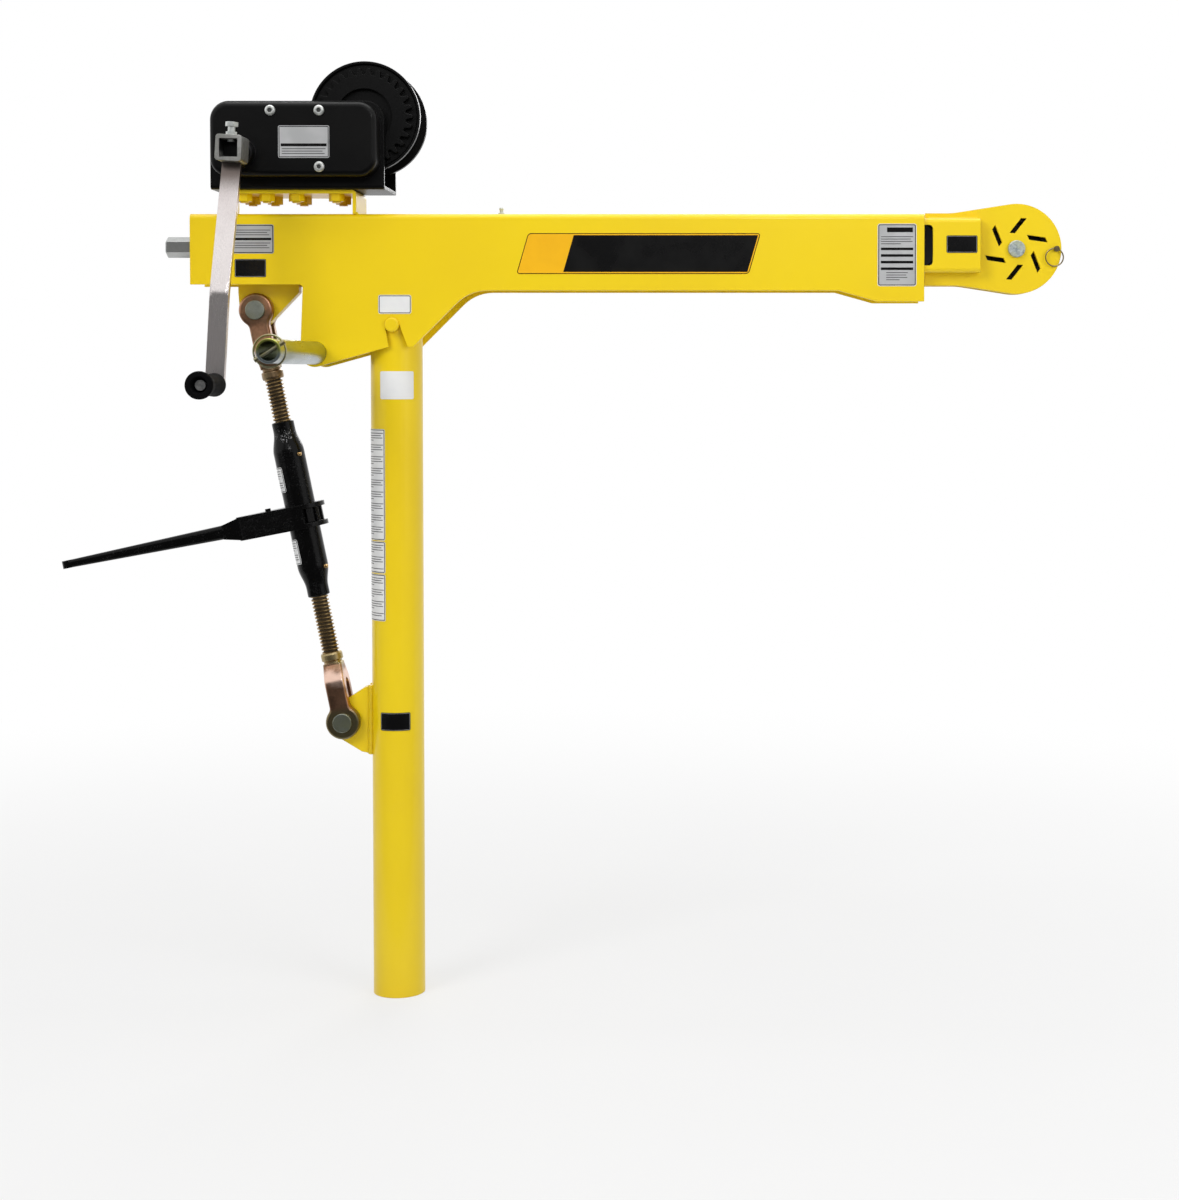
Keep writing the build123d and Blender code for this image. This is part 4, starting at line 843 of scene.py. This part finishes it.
wrappedLabels = {
    "mastLabel": {"angles": (-33, 36), "low": 379.2, "top": 404.7, "layers": blackLabel},
    "mastSquare": {"angles": (-30, 48), "low": 845.9, "top": 885.1, "layers": [("labelWhite", 0)]},
    "mastStripLong": {"angles": (-111, -19), "low": 647.4, "top": 803.9, "layers": whiteLabel,
                      "bands": rules(148, 53)},
    "mastStripMiddle": {"angles": (-111, -19), "low": 601.2, "top": 645.8, "layers": whiteLabel,
                        "bands": rules(37, 53)},
    "mastStripLow": {"angles": (-111, -19), "low": 533.7, "top": 599.6, "layers": whiteLabel,
                     "bands": rules(58, 53)},
}
for name, label in wrappedLabels.items():
    slot = "black_paint" if name == "mastLabel" else "zinc_plate"
    wrappedLabel(name, "mast", dict(label, radius=36.5, facet=2.0, corner=2.4))
for name, low in (("barrelLabelUpper", 335.0), ("barrelLabelLower", 231.0)):
    label = {"angles": (-99, -30), "low": low, "top": low + 36, "layers": whiteLabel, "radius": 21.5,
             "facet": 1.6, "corner": 3.0, "bands": rules(28, 19)}
    wrappedLabel(name, "barrel", label, onLink)
print("labels laid")


# Black sheets that fill the lock slots of the telescoping tube, painted shade for the dark inside of each
# slot

def slotShadeSheet(name, side):
    shadeFill = {"x": 740.0, "z": 1061.1, "wide": 29.6, "high": 56.4, "face": 38.3, "thick": 4.0, "corner": 5.5}
    piece = addPiece(name, bpy.ops.mesh.primitive_plane_add, size=1)
    piece.scale = (shadeFill["wide"] * mm, shadeFill["high"] * mm, 1)
    settle(piece)
    bpy.ops.object.mode_set(mode="EDIT")
    bpy.ops.mesh.select_all(action="SELECT")
    bpy.ops.mesh.bevel(offset=shadeFill["corner"] * mm, segments=8, affect="VERTICES")
    bpy.ops.mesh.select_all(action="SELECT")
    bpy.ops.mesh.select_mode(type="FACE")
    bpy.ops.mesh.extrude_region_move(TRANSFORM_OT_translate={"value": (0, 0, shadeFill["thick"] * mm)})
    bpy.ops.mesh.inset(thickness=0.6 * mm, depth=-0.3 * mm)
    bpy.ops.object.mode_set(mode="OBJECT")
    turn = Matrix.Rotation(math.radians(90), 4, "X")
    if side > 0:
        turn = Matrix.Rotation(math.radians(180), 4, "Z") @ turn
    depth = side * (shadeFill["face"] - shadeFill["thick"]) * mm
    settle(piece, Matrix.Translation((shadeFill["x"] * mm, depth, shadeFill["z"] * mm)) @ turn)
    return dress(piece, "nylon", "inner_boom")


slotShadeSheet("slotShadeNear", -1)
slotShadeSheet("slotShadeFar", 1)


# Weld beads: one ripple repeated along each seam

def weld(name, body, start, end, high):
    bead = {"pitch": 2.1, "share": 0.85, "around": 10, "rings": 6}
    along = Vector(end) - Vector(start)
    count = max(2, round(along.length / bead["pitch"]))
    step = tuple(along / count * mm)
    stretch = [high * mm] * 3
    axis = max(range(3), key=lambda number: abs(along[number]))
    stretch[axis] = bead["pitch"] * bead["share"] * mm
    piece = addPiece(name, bpy.ops.mesh.primitive_uv_sphere_add, segments=bead["around"],
                     ring_count=bead["rings"], radius=1)
    piece.scale = stretch
    settle(piece)
    useModifier(piece, "ripples", "ARRAY", count=count + 1, use_relative_offset=False,
                use_constant_offset=True, constant_offset_displace=step)
    settle(piece, Matrix.Translation(Vector(start) * mm))
    return dress(piece, "yellow", body)


seams = {
    "mastLugSeam": ("mast", (-37.0, -9.9, 343), (-37.0, -9.9, 439), 4.6),
    "mastLugSeamFar": ("mast", (-37.0, 9.9, 343), (-37.0, 9.9, 439), 4.6),
    "boomLugSeam": ("boom", (-216, -9.8, 1017.6), (-141, -9.8, 1017.6), 3.0),
    "boomLugSeamFar": ("boom", (-216, 9.8, 1017.6), (-141, 9.8, 1017.6), 3.0),
    "standSeamRear": ("boom", (-236.5, -40, 1104.8), (-236.5, 40, 1104.8), 2.4),
    "standSeamFront": ("boom", (-48.5, -40, 1104.8), (-48.5, 40, 1104.8), 2.4),
    "headSeamNear": ("inner_boom", (752, -18.2, 1099.4), (818, -18.2, 1099.4), 2.4),
    "headSeamFar": ("inner_boom", (752, 18.2, 1099.4), (818, 18.2, 1099.4), 2.4),
}
for name, (body, start, end, high) in seams.items():
    weld(name, body, start, end, high)
print("seams welded")
